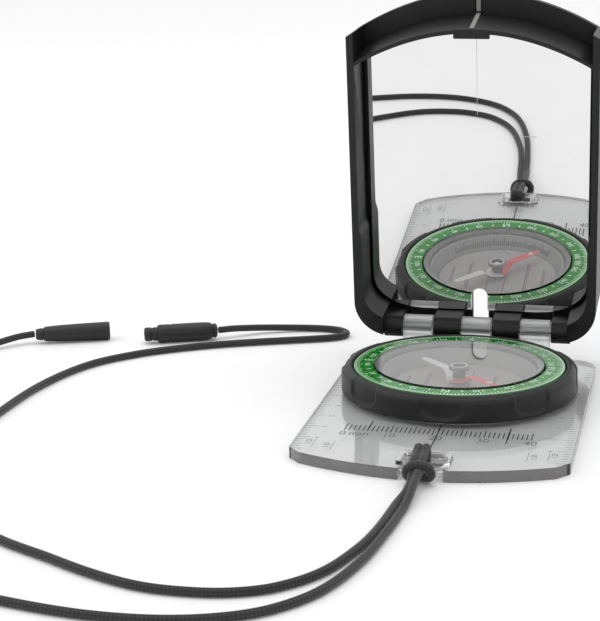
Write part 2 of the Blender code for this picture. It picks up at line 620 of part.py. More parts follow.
def knot():
    """The doubled cord through the slot and round the front strip, pulled tight on its own bight."""
    outer = [(SLOT_REAR + 0.35, 1.2), (SLOT_REAR + 0.35, 5.1), (SLOT_REAR + 1.0, 5.8), (SLOT_REAR + 2.2, 5.8),
             (SLOT_REAR + 4.6, 5.4), (55.6, 5.3), (57.3, 4.2), (57.3, 1.4), (56.4, 0.05), (SLOT_REAR + 1.4, 0.05)]
    band = prism("lanyard_knot", [(DIAL_Y - y, z) for y, z in outer], KNOT_X - STRAND_HALF_W,
                 KNOT_X + STRAND_HALF_W, "cord", axis="x")
    bight = [(56.2, 0.5), (56.2, 4.4), (58.2, 5.4), (60.2, 4.4), (60.7, 2.4), (60.0, 0.6), (58.6, 0.1)]
    block = prism("bight_tool", [(DIAL_Y - y, z) for y, z in bight], BIGHT_LEFT, BIGHT_RIGHT, "cord", axis="x")
    combine(band, block, "UNION")
    inner = [(SLOT_FRONT - GAP, RELIEF_H - GAP), (PLATE_FRONT + GAP + 0.1, RELIEF_H - GAP),
             (PLATE_FRONT + GAP + 0.1, PLATE_T + BOSS_H + GAP), (SLOT_FRONT - GAP, PLATE_T + BOSS_H + GAP)]
    hole = prism("strip_tool", [(DIAL_Y - y, z) for y, z in inner], -8.0, 8.0, "cord", axis="x")
    combine(band, hole, "DIFFERENCE")


def connector(name, profile, end, heading_deg, mat_name="black"):
    """A turned connector piece lying on the table: profile is (radius, distance from end)."""
    obj = turned(name, profile, mat_name, segments=28)
    obj.location = Vector((end[0], end[1] + DIAL_Y, CONNECTOR_R)) * MM
    obj.rotation_euler = (0.0, math.radians(90.0), math.radians(heading_deg))


def connectors():
    male_end = (-69.0, 40.85)
    male_heading = 202.5
    collar = [(1.2, 0.0), (1.9, 0.0), (1.9, 0.9), (1.2, 0.9)]
    connector("male_collar", collar, male_end, male_heading)
    body = [(0.0, 1.2), (1.9, 1.2), (2.3, 1.7), (CONNECTOR_R, 6.0), (2.3, 14.6), (2.0, 15.2), (0.0, 15.2)]
    connector("male_connector", body, male_end, male_heading)
    tip = [(0.0, 15.5), (1.75, 15.5), (1.8, 18.2), (1.55, 18.6), (0.0, 18.6)]
    connector("male_plug", tip, male_end, male_heading)
    female_end = (-113.8, 29.0)
    female_heading = 22.0
    collar = [(1.15, 0.0), (1.4, 0.0), (1.6, 1.6), (1.15, 1.6)]
    connector("female_collar", collar, female_end, female_heading)
    body = [(0.0, 1.9), (1.7, 1.9), (1.95, 2.6), (2.2, 9.0), (2.35, 18.4), (2.2, 18.8), (1.95, 18.8), (1.95, 14.2),
            (0.0, 14.2)]
    connector("female_connector", body, female_end, female_heading)


def build():
    clear_scene()
    base_plate()
    hinge_pin()
    bezel_ring()
    retaining_ring()
    dial_ring()
    capsule_cup()
    orienting_card()
    declination_ring()
    capsule_seal()
    capsule_lens()
    pivot()
    needle_blade()
    needle_hub()
    lid_shell()
    mirror()
    sight_lines()
    knot()
    cord("lanyard_leg_a", LEG_A)
    cord("lanyard_leg_b", LEG_B)
    connectors()


build()
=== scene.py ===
"""Mirror sighting compass in a pale studio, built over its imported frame.

The frame gives the dial's axis, the hinge and every CAD piece. Sizes here are in millimetres and
become metres when a mesh or a curve is made. Three places are used: the frame itself, the dial
(its axis as origin) and the lid (the hinge axis as origin, x along it, y behind, z up the lid).
"""
import math

import bmesh
import bpy
from mathutils import Matrix, Vector
from mathutils.geometry import interpolate_bezier


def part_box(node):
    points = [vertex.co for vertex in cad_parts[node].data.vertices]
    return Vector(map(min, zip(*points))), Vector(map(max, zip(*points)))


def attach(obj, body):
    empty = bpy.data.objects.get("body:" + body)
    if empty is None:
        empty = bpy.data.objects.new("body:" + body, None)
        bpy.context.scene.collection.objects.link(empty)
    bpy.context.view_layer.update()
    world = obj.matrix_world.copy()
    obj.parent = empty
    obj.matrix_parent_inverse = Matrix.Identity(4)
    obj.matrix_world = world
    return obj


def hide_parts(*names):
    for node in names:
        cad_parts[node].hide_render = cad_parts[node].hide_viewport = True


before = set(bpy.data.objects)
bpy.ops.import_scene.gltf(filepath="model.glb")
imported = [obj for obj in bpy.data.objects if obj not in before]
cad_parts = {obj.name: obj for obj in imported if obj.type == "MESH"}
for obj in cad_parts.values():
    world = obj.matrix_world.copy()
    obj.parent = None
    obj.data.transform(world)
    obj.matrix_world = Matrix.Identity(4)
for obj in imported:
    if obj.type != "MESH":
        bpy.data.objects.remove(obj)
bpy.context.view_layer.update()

MM = 0.001
GAP = 0.3


def middle(node):
    """The centre of a CAD node's box, in millimetres."""
    low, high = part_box(node)
    return [0.5 * (a + b) / MM for a, b in zip(low, high)]


DIAL_Y = middle("dial_ring")[1]
HINGE_Y, HINGE_Z = middle("hinge_pin")[1:]
PLATE_T = 2.5
LID_LEAN_DEG = 7.0
WORLD = Matrix.Identity(4)
DIAL = Matrix.Translation((0.0, DIAL_Y, 0.0))
LID = Matrix.Translation((0.0, HINGE_Y, HINGE_Z)) @ Matrix.Rotation(math.radians(LID_LEAN_DEG), 4, "X")


# ---------------------------------------------------------------- materials

def shader_tree(name, **sockets):
    """A new material with its Principled sockets set; gives the material, its nodes and links."""
    mat = bpy.data.materials.new(name)
    mat.use_nodes = True
    nodes = mat.node_tree.nodes
    shader = nodes["Principled BSDF"]
    for label, value in sockets.items():
        shader.inputs[label.replace("_", " ")].default_value = value
    return mat, nodes, mat.node_tree.links


def noise(nodes, links, scale, detail=3.0, stretch=(1.0, 1.0, 1.0)):
    """Object-space noise; scale is in bumps per metre."""
    coords = nodes.new("ShaderNodeTexCoord")
    mapping = nodes.new("ShaderNodeMapping")
    mapping.inputs["Scale"].default_value = stretch
    texture = nodes.new("ShaderNodeTexNoise")
    texture.inputs["Scale"].default_value = scale
    texture.inputs["Detail"].default_value = detail
    links.new(coords.outputs["Object"], mapping.inputs["Vector"])
    links.new(mapping.outputs["Vector"], texture.inputs["Vector"])
    return texture


def map_range(nodes, links, source, low, high):
    """Spread a 0 to 1 value over low to high."""
    spread = nodes.new("ShaderNodeMapRange")
    spread.inputs["To Min"].default_value = low
    spread.inputs["To Max"].default_value = high
    links.new(source, spread.inputs["Value"])
    return spread.outputs["Result"]


def tint(nodes, links, source, dark, light):
    """Run a 0 to 1 value between two colours."""
    ramp = nodes.new("ShaderNodeValToRGB")
    ramp.color_ramp.elements[0].position = 0.3
    ramp.color_ramp.elements[0].color = (*dark, 1.0)
    ramp.color_ramp.elements[1].position = 0.7
    ramp.color_ramp.elements[1].color = (*light, 1.0)
    links.new(source, ramp.inputs["Fac"])
    return ramp.outputs["Color"]


def bump(nodes, links, source, strength, distance):
    """Raise the surface by a 0 to 1 value; distance is in metres."""
    node = nodes.new("ShaderNodeBump")
    node.inputs["Strength"].default_value = strength
    node.inputs["Distance"].default_value = distance
    links.new(source, node.inputs["Height"])
    links.new(node.outputs["Normal"], nodes["Principled BSDF"].inputs["Normal"])


def moulded(name, colour, rough=(0.34, 0.46), grain=5200.0, depth=0.00002, spread=0.18, strength=0.5,
            **sockets):
    """Moulded plastic or rubber: fine spark-eroded grain, patchy gloss and a slightly uneven colour."""
    mat, nodes, links = shader_tree(name, **sockets)
    shader = nodes["Principled BSDF"]
    patches = noise(nodes, links, 160.0, 4.0)
    dark = [c * (1.0 - spread) for c in colour]
    light = [c * (1.0 + spread) for c in colour]
    links.new(tint(nodes, links, patches.outputs["Fac"], dark, light), shader.inputs["Base Color"])
    links.new(map_range(nodes, links, patches.outputs["Fac"], *rough), shader.inputs["Roughness"])
    fine = noise(nodes, links, grain, 2.0)
    bump(nodes, links, fine.outputs["Fac"], strength, depth)
    return mat


def printed(name, colour, rough=0.45, **sockets):
    """Ink or paint: nearly flat, with the faint mottling of a pad print."""
    return moulded(name, colour, (rough - 0.05, rough + 0.08), 9000.0, 0.000004, 0.1, 0.2, **sockets)


def clear_plastic(name, colour, rough=(0.015, 0.04), scratched=0.04, clear=1.0):
    """Polished clear acrylic with hairline scratches."""
    mat, nodes, links = shader_tree(name, Transmission_Weight=clear, IOR=1.49, Base_Color=(*colour, 1.0))
    shader = nodes["Principled BSDF"]
    haze = noise(nodes, links, 90.0, 5.0)
    links.new(map_range(nodes, links, haze.outputs["Fac"], *rough), shader.inputs["Roughness"])
    scratches = noise(nodes, links, 260.0, 8.0, (1.0, 9.0, 1.0))
    bump(nodes, links, scratches.outputs["Fac"], scratched, 0.00001)
    return mat


def metal(name, colour, rough=(0.2, 0.32)):
    """Drawn steel with lengthwise brushing."""
    mat, nodes, links = shader_tree(name, Metallic=1.0)
    shader = nodes["Principled BSDF"]
    lines = noise(nodes, links, 900.0, 6.0, (0.05, 1.0, 1.0))
    brushed = tint(nodes, links, lines.outputs["Fac"], [0.85 * c for c in colour], colour)
    links.new(brushed, shader.inputs["Base Color"])
    links.new(map_range(nodes, links, lines.outputs["Fac"], *rough), shader.inputs["Roughness"])
    bump(nodes, links, lines.outputs["Fac"], 0.1, 0.00001)
    return mat


def mirror_silver():
    """Silvered acrylic mirror: very smooth, with a trace of dust that dulls it in patches."""
    mat, nodes, links = shader_tree("mirror_silver", Metallic=1.0)
    shader = nodes["Principled BSDF"]
    dust = noise(nodes, links, 120.0, 8.0)
    dusty = tint(nodes, links, dust.outputs["Fac"], (0.79, 0.79, 0.79), (0.82, 0.82, 0.82))
    links.new(dusty, shader.inputs["Base Color"])
    links.new(map_range(nodes, links, dust.outputs["Fac"], 0.0, 0.018), shader.inputs["Roughness"])
    return mat


def braided(name, colour, across, pitch):
    """Braided cord: diamonds raised by two crossing helices, read from the tube's own UV map; its colour is
    painted shade in the grooves and painted light on the crowns.
    """
    mat, nodes, links = shader_tree(name, Roughness=0.78, Sheen_Weight=0.25, Sheen_Roughness=0.4)
    shader = nodes["Principled BSDF"]
    uv = nodes.new("ShaderNodeUVMap")
    uv.uv_map = "UVMap"
    split = nodes.new("ShaderNodeSeparateXYZ")
    links.new(uv.outputs["UV"], split.inputs["Vector"])

    def maths(operation, a, b=None):
        node = nodes.new("ShaderNodeMath")
        node.operation = operation
        for socket, value in zip(node.inputs, (a, b)):
            if value is None:
                continue
            if isinstance(value, float):
                socket.default_value = value
            else:
                links.new(value, socket)
        return node.outputs["Value"]

    along = maths("MULTIPLY", split.outputs["X"], 2.0 * math.pi / pitch)
    round_it = maths("MULTIPLY", split.outputs["Y"], 2.0 * math.pi * across)
    one = maths("SINE", maths("ADD", along, round_it))
    other = maths("SINE", maths("SUBTRACT", along, round_it))
    weave = maths("ADD", maths("MULTIPLY", maths("MULTIPLY", one, other), 0.5), 0.5)
    fibres = noise(nodes, links, 5200.0, 3.0)
    height = maths("ADD", weave, maths("MULTIPLY", fibres.outputs["Fac"], 0.35))
    # Painted shade and light: the colour runs with the weave's height, darker in the grooves and lighter on
    # the crowns.
    dark = [c * 0.55 for c in colour]
    light = [c * 1.25 for c in colour]
    links.new(tint(nodes, links, weave, dark, light), shader.inputs["Base Color"])
    bump(nodes, links, height, 0.8, 0.00012)
    return mat


ACRYLIC = clear_plastic("clear_acrylic", (0.985, 0.995, 0.99))
CAPSULE = clear_plastic("capsule_acrylic", (0.97, 0.98, 0.98))
LENS = clear_plastic("lens_acrylic", (0.99, 0.995, 0.99), (0.0, 0.015))
BLACK = moulded("lid_black_plastic", (0.0065, 0.0065, 0.0068), Specular_IOR_Level=0.32)
BEZEL = moulded("bezel_black_plastic", (0.0085, 0.0088, 0.0088), (0.4, 0.52), 3800.0, 0.00003,
                Specular_IOR_Level=0.34)
HIDDEN_BLACK = moulded("inner_black_plastic", (0.02, 0.02, 0.021), (0.45, 0.6))
CONNECTOR = moulded("connector_plastic", (0.01, 0.01, 0.01), (0.36, 0.46), 4200.0, Specular_IOR_Level=0.4)
SILICONE = clear_plastic("seal_silicone", (0.9, 0.93, 0.92), (0.25, 0.4), 0.0)
FROSTED = clear_plastic("lug_acrylic", (0.7, 0.71, 0.7), (0.3, 0.42), 0.005)
SAWN = clear_plastic("edge_acrylic", (0.5, 0.485, 0.48), (0.2, 0.34), 0.02, 0.72)
FOAM = moulded("pad_foam", (0.05, 0.05, 0.052), (0.8, 0.95), 2600.0, 0.0001, 0.3, 0.9)
STEEL = metal("pin_steel", (0.62, 0.62, 0.64))
MAGNET = metal("magnet_steel", (0.35, 0.35, 0.37), (0.35, 0.5))
JEWEL = clear_plastic("ruby_jewel", (0.8, 0.08, 0.18))
SILVER = mirror_silver()
GLOSS = {"Coat_Weight": 1.0, "Coat_Roughness": 0.02, "Coat_IOR": 1.55}
GREEN = printed("dial_green", (0.004, 0.2, 0.012), 0.5, Specular_IOR_Level=0.0, **GLOSS)
LUMINOUS = printed("luminous_green", (0.28, 0.5, 0.28), 0.6, **GLOSS)
PALE_INK = printed("dial_pale_ink", (0.75, 0.88, 0.75), 0.5, **GLOSS)
WHITE_PAINT = printed("white_paint", (0.93, 0.93, 0.92), 0.35)
RING_GREY = printed("hub_ring_grey", (0.16, 0.165, 0.17), 0.35)
RED_PAINT = printed("red_paint", (0.93, 0.022, 0.01), 0.4)
LUME_SPOT = printed("needle_lume", (0.95, 0.82, 0.66), 0.6)
CARD = moulded("orienting_card", (0.43, 0.4, 0.395), (0.4, 0.55), 2400.0, 0.00001, 0.06)
CONE = moulded("scale_ring_grey", (0.36, 0.36, 0.357), (0.3, 0.42), 2600.0, 0.00001, 0.06)
BLACK_INK = printed("black_ink", (0.012, 0.012, 0.012), 0.5)
GREY_INK = printed("grey_ink", (0.13, 0.13, 0.13), 0.5)
FAINT_INK = printed("faint_ink", (0.13, 0.13, 0.13), 0.5)
RED_INK = printed("red_ink", (0.3, 0.03, 0.04), 0.5)
SIGHT_GREY = printed("sight_line_grey", (0.2, 0.21, 0.19), 0.6)
ETCH = printed("etched_line", (0.62, 0.62, 0.62), 0.7)
CORD = braided("braided_cord", (0.022, 0.022, 0.0225), 4.0, 1.5)


# ---------------------------------------------------------------- mesh tools

SMOOTH_PIECES = []
MERGE_WITHIN = 0.00001          # metres
FLAT_WITHIN_DEG = 0.8
BEVEL_FROM_DEG = 38.0
SMOOTH_TO_DEG = 50.0


def finish_piece(name, bm, mat, body, place=WORLD, replaces=(), smooth=32.0):
    """Turn a mesh drawn in millimetres into a piece that rides on a body."""
    for vert in bm.verts:
        vert.co = (place @ vert.co) * MM
    mesh = bpy.data.meshes.new(name)
    bm.to_mesh(mesh)
    bm.free()
    if mat:
        mesh.materials.append(mat)
    if smooth:
        mesh.shade_smooth()
        mesh.set_sharp_from_angle(angle=math.radians(smooth))
    obj = bpy.data.objects.new(name, mesh)
    if smooth:
        SMOOTH_PIECES.append(obj)
    bpy.context.scene.collection.objects.link(obj)
    if body:
        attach(obj, body)
    if replaces:
        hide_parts(*replaces)
    return obj


def prism(outline, low, high, axis="z"):
    """A mesh extruded from a closed outline, from low to high along x, y or z."""
    bm = bmesh.new()
    layers = []
    for level in (low, high):
        row = []
        for a, b in outline:
            point = {"z": (a, b, level), "y": (a, level, b), "x": (level, a, b)}[axis]
            row.append(bm.verts.new(point))
        layers.append(row)
    bm.faces.new(layers[0])
    bm.faces.new(layers[1])
    count = len(outline)
    for i in range(count):
        j = (i + 1) % count
        bm.faces.new((layers[0][i], layers[0][j], layers[1][j], layers[1][i]))
    bmesh.ops.recalc_face_normals(bm, faces=bm.faces[:])
    return bm


def turned(profile, segments=128, radius_at=None):
    """Revolve a closed profile of (radius, z); radius_at(angle, radius, z) may shape it."""
    bm = bmesh.new()
    rings = []
    for radius, z in profile:
        if radius == 0.0:
            rings.append([bm.verts.new((0.0, 0.0, z))])
            continue
        ring = []
        for k in range(segments):
            t = 2.0 * math.pi * k / segments
            r = radius_at(t, radius, z) if radius_at else radius
            ring.append(bm.verts.new((r * math.cos(t), r * math.sin(t), z)))
        rings.append(ring)
    for a, b in zip(rings, rings[1:] + rings[:1]):
        if len(a) == 1 and len(b) == 1:
            continue
        for k in range(segments):
            m = (k + 1) % segments
            corners = [a[k % len(a)], a[m % len(a)], b[m % len(b)], b[k % len(b)]]
            bm.faces.new(list(dict.fromkeys(corners)))
    bmesh.ops.recalc_face_normals(bm, faces=bm.faces[:])
    return bm


def arc(cx, cy, radius, start_deg, end_deg, steps):
    """Points along an arc, both ends included."""
    points = []
    for k in range(steps + 1):
        t = math.radians(start_deg + (end_deg - start_deg) * k / steps)
        points.append((cx + radius * math.cos(t), cy + radius * math.sin(t)))
    return points


def disc(radius, cx, cy, steps):
    """A circle as a closed outline of that many points."""
    return arc(cx, cy, radius, 0.0, 360.0 * (steps - 1) / steps, steps - 1)


def rounded(points, radius, steps):
    """Replace each corner of a closed outline by a small arc."""
    result = []
    count = len(points)
    for i, point in enumerate(points):
        here = Vector(point)
        before = here + (Vector(points[i - 1]) - here).normalized() * radius
        after = here + (Vector(points[(i + 1) % count]) - here).normalized() * radius
        for k in range(steps + 1):
            t = k / steps
            spot = before * (1 - t) ** 2 + here * 2 * t * (1 - t) + after * t ** 2
            result.append(tuple(spot))
    return result


def edit(obj, tool_bm, operation, place=WORLD):
    """Queue a Boolean with a tool drawn in millimetres."""
    tool = finish_piece("tool", tool_bm, None, None, place, smooth=0.0)
    mod = obj.modifiers.new(operation.lower(), "BOOLEAN")
    mod.operation = operation
    mod.solver = "EXACT"
    mod.object = tool


def settle(obj, bevel=0.0, segments=2):
    """Apply the queued Booleans, remove their tools and round the sharp edges."""
    tools = [mod.object for mod in obj.modifiers if mod.type == "BOOLEAN"]
    mats = list(obj.data.materials)

    def apply():
        depsgraph = bpy.context.evaluated_depsgraph_get()
        mesh = bpy.data.meshes.new_from_object(obj.evaluated_get(depsgraph))
        obj.modifiers.clear()
        obj.data = mesh

    apply()
    for tool in tools:
        bpy.data.objects.remove(tool, do_unlink=True)
    bm = bmesh.new()
    bm.from_mesh(obj.data)
    bmesh.ops.remove_doubles(bm, verts=bm.verts[:], dist=MERGE_WITHIN)
    flat = math.radians(FLAT_WITHIN_DEG)
    bmesh.ops.dissolve_limit(bm, angle_limit=flat, verts=bm.verts[:], edges=bm.edges[:])
    bm.to_mesh(obj.data)
    bm.free()
    if bevel:
        mod = obj.modifiers.new("rounding", "BEVEL")
        mod.width = bevel * MM
        mod.segments = segments
        mod.limit_method = "ANGLE"
        mod.angle_limit = math.radians(BEVEL_FROM_DEG)
        mod.use_clamp_overlap = True
        mod.harden_normals = True
        apply()
    obj.data.materials.clear()
    for mat in mats:
        obj.data.materials.append(mat)
    obj.data.shade_smooth()
    obj.data.set_sharp_from_angle(angle=math.radians(SMOOTH_TO_DEG))


def keep_faces_flat():
    """Weight the smooth pieces' normals by face area, so that a bevel doesn't bend its flat faces."""
    for obj in SMOOTH_PIECES:
        mod = obj.modifiers.new("flat_faces", "WEIGHTED_NORMAL")
        mod.mode = "FACE_AREA"
        mod.weight = 100
        mod.keep_sharp = True


def bar(bm, a, b, width):
    """A flat printed line from a to b, in the plane z = 0."""
    start = Vector((*a, 0.0))
    end = Vector((*b, 0.0))
    side = (end - start).cross(Vector((0.0, 0.0, 1.0))).normalized() * (0.5 * width)
    bm.faces.new([bm.verts.new(p) for p in (start - side, end - side, end + side, start + side)])


def lettering(bm, text, size, place):
    """Add flat figures or letters, size high, centred on the place's origin."""
    curve = bpy.data.curves.new("lettering", "FONT")
    curve.body = text
    curve.size = size
    curve.align_x = "CENTER"
    curve.align_y = "CENTER"
    curve.resolution_u = 3
    obj = bpy.data.objects.new("lettering", curve)
    bpy.context.scene.collection.objects.link(obj)
    depsgraph = bpy.context.evaluated_depsgraph_get()
    mesh = bpy.data.meshes.new_from_object(obj.evaluated_get(depsgraph))
    mesh.transform(place)
    bm.from_mesh(mesh)
    bpy.data.meshes.remove(mesh)
    bpy.data.objects.remove(obj, do_unlink=True)


# ---------------------------------------------------------------- camera, floor and light

LENS_MM = 106.05
SENSOR_MM = 36.0
EYE = (56.485, -398.237, 124.314)       # from the dial's axis, at the plate's top
HEADING_DEG = 13.228
DOWN_DEG = 14.682
ROLL_DEG = -0.901

FLOOR_Z = -0.03                 # a hair below the plate, so that its underside keeps an air gap
FLOOR_HALF_W = 4000.0
HORIZON_LEVEL = 0.93
WHITE_FROM = 0.75
# Each light's name, place and width in metres, and watts.
SOFTBOXES = (("overhead_softbox", (0.0, 0.15, 1.1), 1.2, 3.2),
             ("left_softbox", (-1.0, -0.25, 0.75), 0.8, 1.8))


def camera():
    cam = bpy.data.cameras.new("camera")
    cam.lens = LENS_MM
    cam.sensor_width = SENSOR_MM
    cam.clip_start = 0.01
    obj = bpy.data.objects.new("camera", cam)
    obj.location = Vector((EYE[0], DIAL_Y + EYE[1], PLATE_T + EYE[2])) * MM
    heading = Matrix.Rotation(math.radians(HEADING_DEG), 4, "Z")
    pitch = Matrix.Rotation(math.radians(90.0 - DOWN_DEG), 4, "X")
    roll = Matrix.Rotation(math.radians(ROLL_DEG), 4, "Z")
    obj.rotation_euler = (heading @ pitch @ roll).to_euler()
    bpy.context.scene.collection.objects.link(obj)
    bpy.context.scene.camera = obj


def studio():
    """A pale floor, a white world that is a little darker at the horizon, and two soft lights."""
    bpy.context.scene.view_settings.view_transform = "Standard"
    bm = bmesh.new()
    w = FLOOR_HALF_W
    bm.faces.new([bm.verts.new((x, y, 0.0)) for x, y in ((-w, -w), (w, -w), (w, w), (-w, w))])
    floor_mat = moulded("studio_floor", (0.86, 0.86, 0.86), (0.6, 0.7), 300.0, 0.0, 0.004, 0.0)
    under = Matrix.Translation((0.0, 0.0, FLOOR_Z))
    finish_piece("studio_floor", bm, floor_mat, None, under, smooth=0.0)

    world = bpy.data.worlds.new("studio_light")
    bpy.context.scene.world = world
    world.use_nodes = True
    nodes = world.node_tree.nodes
    links = world.node_tree.links
    coords = nodes.new("ShaderNodeTexCoord")
    split = nodes.new("ShaderNodeSeparateXYZ")
    ramp = nodes.new("ShaderNodeValToRGB")
    ramp.color_ramp.elements[0].position = 0.0
    ramp.color_ramp.elements[0].color = (HORIZON_LEVEL, HORIZON_LEVEL, HORIZON_LEVEL, 1.0)
    ramp.color_ramp.elements[1].position = WHITE_FROM
    ramp.color_ramp.elements[1].color = (1.0, 1.0, 1.0, 1.0)
    links.new(coords.outputs["Generated"], split.inputs["Vector"])
    links.new(split.outputs["Z"], ramp.inputs["Fac"])
    links.new(ramp.outputs["Color"], nodes["Background"].inputs["Color"])
    nodes["Background"].inputs["Strength"].default_value = 1.0

    for name, spot, size, power in SOFTBOXES:
        light = bpy.data.lights.new(name, "AREA")
        light.shape = "DISK"
        light.size = size
        light.energy = power
        obj = bpy.data.objects.new(name, light)
        obj.location = spot
        obj.rotation_euler = (-Vector(spot)).to_track_quat("-Z", "Y").to_euler()
        bpy.context.scene.collection.objects.link(obj)


# ---------------------------------------------------------------- lanyard

CORD_D = 1.7
HITCH_R = 0.93                  # pulled tight, the cord bulges a little
CONNECTOR_R = 2.35
CORD_SIDES = 14
CONNECTOR_SIDES = 64
CURVE_STEPS = 24

LEG_A = [(-0.85, -61.0, 1.7), (-1.2, -65.2, 1.2), (-1.95, -70.5, 0.95), (-3.05, -83.7, 0.9),
         (-4.85, -94.3, 0.9), (-9.0, -106.4, 0.9), (-15.4, -114.3, 0.9), (-22.4, -117.9, 0.9),
         (-30.4, -119.0, 0.9), (-39.0, -118.2, 0.9), (-48.9, -114.4, 0.9), (-59.6, -108.6, 0.9),
         (-70.7, -102.5, 0.9), (-81.8, -93.6, 0.9), (-91.0, -81.0, 0.9), (-97.2, -65.5, 0.9),
         (-100.2, -48.5, 0.9), (-100.3, -31.9, 0.9), (-98.4, -8.5, 0.9), (-92.9, 9.8, 0.9),
         (-84.2, 20.9, 0.9), (-74.1, 28.6, 0.9), (-63.6, 34.3, 0.9), (-52.9, 38.8, 0.9),
         (-43.6, 42.4, 0.9), (-38.0, 45.2, 0.9), (-36.2, 48.6, 0.9), (-38.6, 51.6, 0.9),
         (-43.4, 52.6, 0.9), (-50.2, 51.8, 1.0), (-58.4, 48.6, 1.5), (-65.1, 43.9, 2.2),
         (-68.4, 41.3, 2.35)]
LEG_B = [(0.3, -61.0, 3.0), (0.2, -65.4, 2.4), (0.1, -68.6, 1.75), (-0.1, -71.5, 1.2),
         (-0.45, -75.5, 0.92), (-1.3, -85.5, 0.9), (-3.2, -100.0, 0.9), (-7.3, -114.0, 0.9),
         (-13.3, -122.8, 0.9), (-20.4, -127.8, 0.9), (-30.2, -130.9, 0.9), (-41.6, -131.6, 0.9),
         (-53.0, -130.2, 0.9), (-66.0, -126.9, 0.9), (-82.0, -120.4, 0.9), (-98.0, -110.0, 0.9),
         (-112.0, -95.8, 0.9), (-123.4, -77.6, 0.9), (-130.8, -57.0, 0.9), (-134.0, -35.5, 0.9),
         (-133.2, -14.0, 0.9), (-129.2, 5.6, 0.9), (-123.6, 19.6, 1.3), (-118.2, 26.6, 2.1),
         (-114.6, 29.4, 2.35)]
# The hitch: in under the bight, over the strip, through the slot and back, across, and out again.
HITCH = [(-0.85, -60.9, 1.7), (-0.95, -59.0, 2.4), (-1.1, -57.2, 3.8), (-1.2, -55.0, 4.4),
         (-1.25, -52.0, 4.6), (-1.25, -49.9, 5.0), (-1.25, -48.75, 5.0), (-1.25, -48.38, 4.1),
         (-1.25, -48.38, 2.6), (-1.25, -48.7, 1.5), (-1.3, -50.0, 0.97), (-1.45, -53.0, 0.97),
         (-1.8, -55.6, 1.05), (-2.25, -56.9, 1.7), (-2.35, -57.6, 2.7), (-1.95, -58.0, 3.7),
         (-0.7, -58.2, 4.4), (0.6, -58.2, 4.5), (1.9, -58.0, 4.1), (2.6, -57.7, 3.2),
         (2.6, -57.1, 2.2), (2.1, -56.4, 1.45), (1.2, -55.2, 1.0), (0.5, -53.0, 0.97),
         (0.35, -50.0, 0.97), (0.3, -48.7, 1.5), (0.3, -48.38, 2.6), (0.3, -48.38, 4.1),
         (0.3, -48.75, 5.0), (0.3, -49.9, 5.0), (0.33, -52.0, 4.6), (0.35, -55.0, 4.4),
         (0.35, -57.2, 4.0), (0.3, -59.0, 3.3), (0.3, -60.9, 3.0)]


def smooth_route(points, step):
    """Points every step along a smooth curve through the route's own points."""
    route = [Vector(p) for p in points]
    fine = []
    for k in range(len(route) - 1):
        before = route[k - 1] if k else route[0] * 2.0 - route[1]
        after = route[k + 2] if k + 2 < len(route) else route[-1] * 2.0 - route[-2]
        span = (route[k + 1] - route[k]).length
        lead = (route[k + 1] - before).normalized() * span / 3.0
        trail = (after - route[k]).normalized() * span / 3.0
        fine += interpolate_bezier(route[k], route[k] + lead, route[k + 1] - trail, route[k + 1],
                                   CURVE_STEPS)[:-1]
    fine.append(route[-1])
    lengths = [0.0]
    for a, b in zip(fine, fine[1:]):
        lengths.append(lengths[-1] + (b - a).length)
    count = max(2, round(lengths[-1] / step))
    result = []
    index = 0
    for k in range(count + 1):
        want = lengths[-1] * k / count
        while index < len(fine) - 2 and lengths[index + 1] < want:
            index += 1
        part = (want - lengths[index]) / max(1e-9, lengths[index + 1] - lengths[index])
        result.append(fine[index].lerp(fine[index + 1], min(1.0, part)))
    return result, lengths[-1]


def tube(name, route, radius, step, node):
    """A closed cord mesh along a route, with a UV map of (millimetres along, turns round)."""
    points, length = smooth_route([(x, y + DIAL_Y, z) for x, y, z in route], step)
    bm = bmesh.new()
    uv_layer = bm.loops.layers.uv.new("UVMap")
    up = Vector((0.0, 0.0, 1.0))
    rings = []
    side = None
    for k, point in enumerate(points):
        ahead = points[min(k + 1, len(points) - 1)] - points[max(k - 1, 0)]
        ahead.normalize()
        if side is None:
            side = ahead.cross(up).normalized()
        side = (side - ahead * side.dot(ahead)).normalized()
        other = ahead.cross(side)
        ring = []
        for m in range(CORD_SIDES):
            t = 2.0 * math.pi * m / CORD_SIDES
            ring.append(bm.verts.new(point + (side * math.cos(t) + other * math.sin(t)) * radius))
        rings.append(ring)
    spacing = length / (len(points) - 1)
    for k in range(len(rings) - 1):
        for m in range(CORD_SIDES):
            n = (m + 1) % CORD_SIDES
            face = bm.faces.new((rings[k][m], rings[k + 1][m], rings[k + 1][n], rings[k][n]))
            spots = ((k, m), (k + 1, m), (k + 1, m + 1), (k, m + 1))
            for loop, (u, v) in zip(face.loops, spots):
                loop[uv_layer].uv = (u * spacing, v / CORD_SIDES)
    bm.faces.new(rings[0])
    bm.faces.new(rings[-1])
    bmesh.ops.recalc_face_normals(bm, faces=bm.faces[:])
    obj = finish_piece(name, bm, CORD, "base", replaces=[node], smooth=SMOOTH_TO_DEG)
    return obj, points, length


def connector_place(end, heading_deg):
    """The place of a connector that lies on the floor, with its axis along the heading."""
    lying = Matrix.Rotation(math.radians(heading_deg), 4, "Z") @ Matrix.Rotation(math.radians(90.0), 4, "Y")
    return Matrix.Translation((end[0], end[1] + DIAL_Y, CONNECTOR_R)) @ lying


def connector_piece(name, profile, node, place):
    return finish_piece(name, turned(profile, CONNECTOR_SIDES), CONNECTOR, "base", place, [node],
                        SMOOTH_TO_DEG)


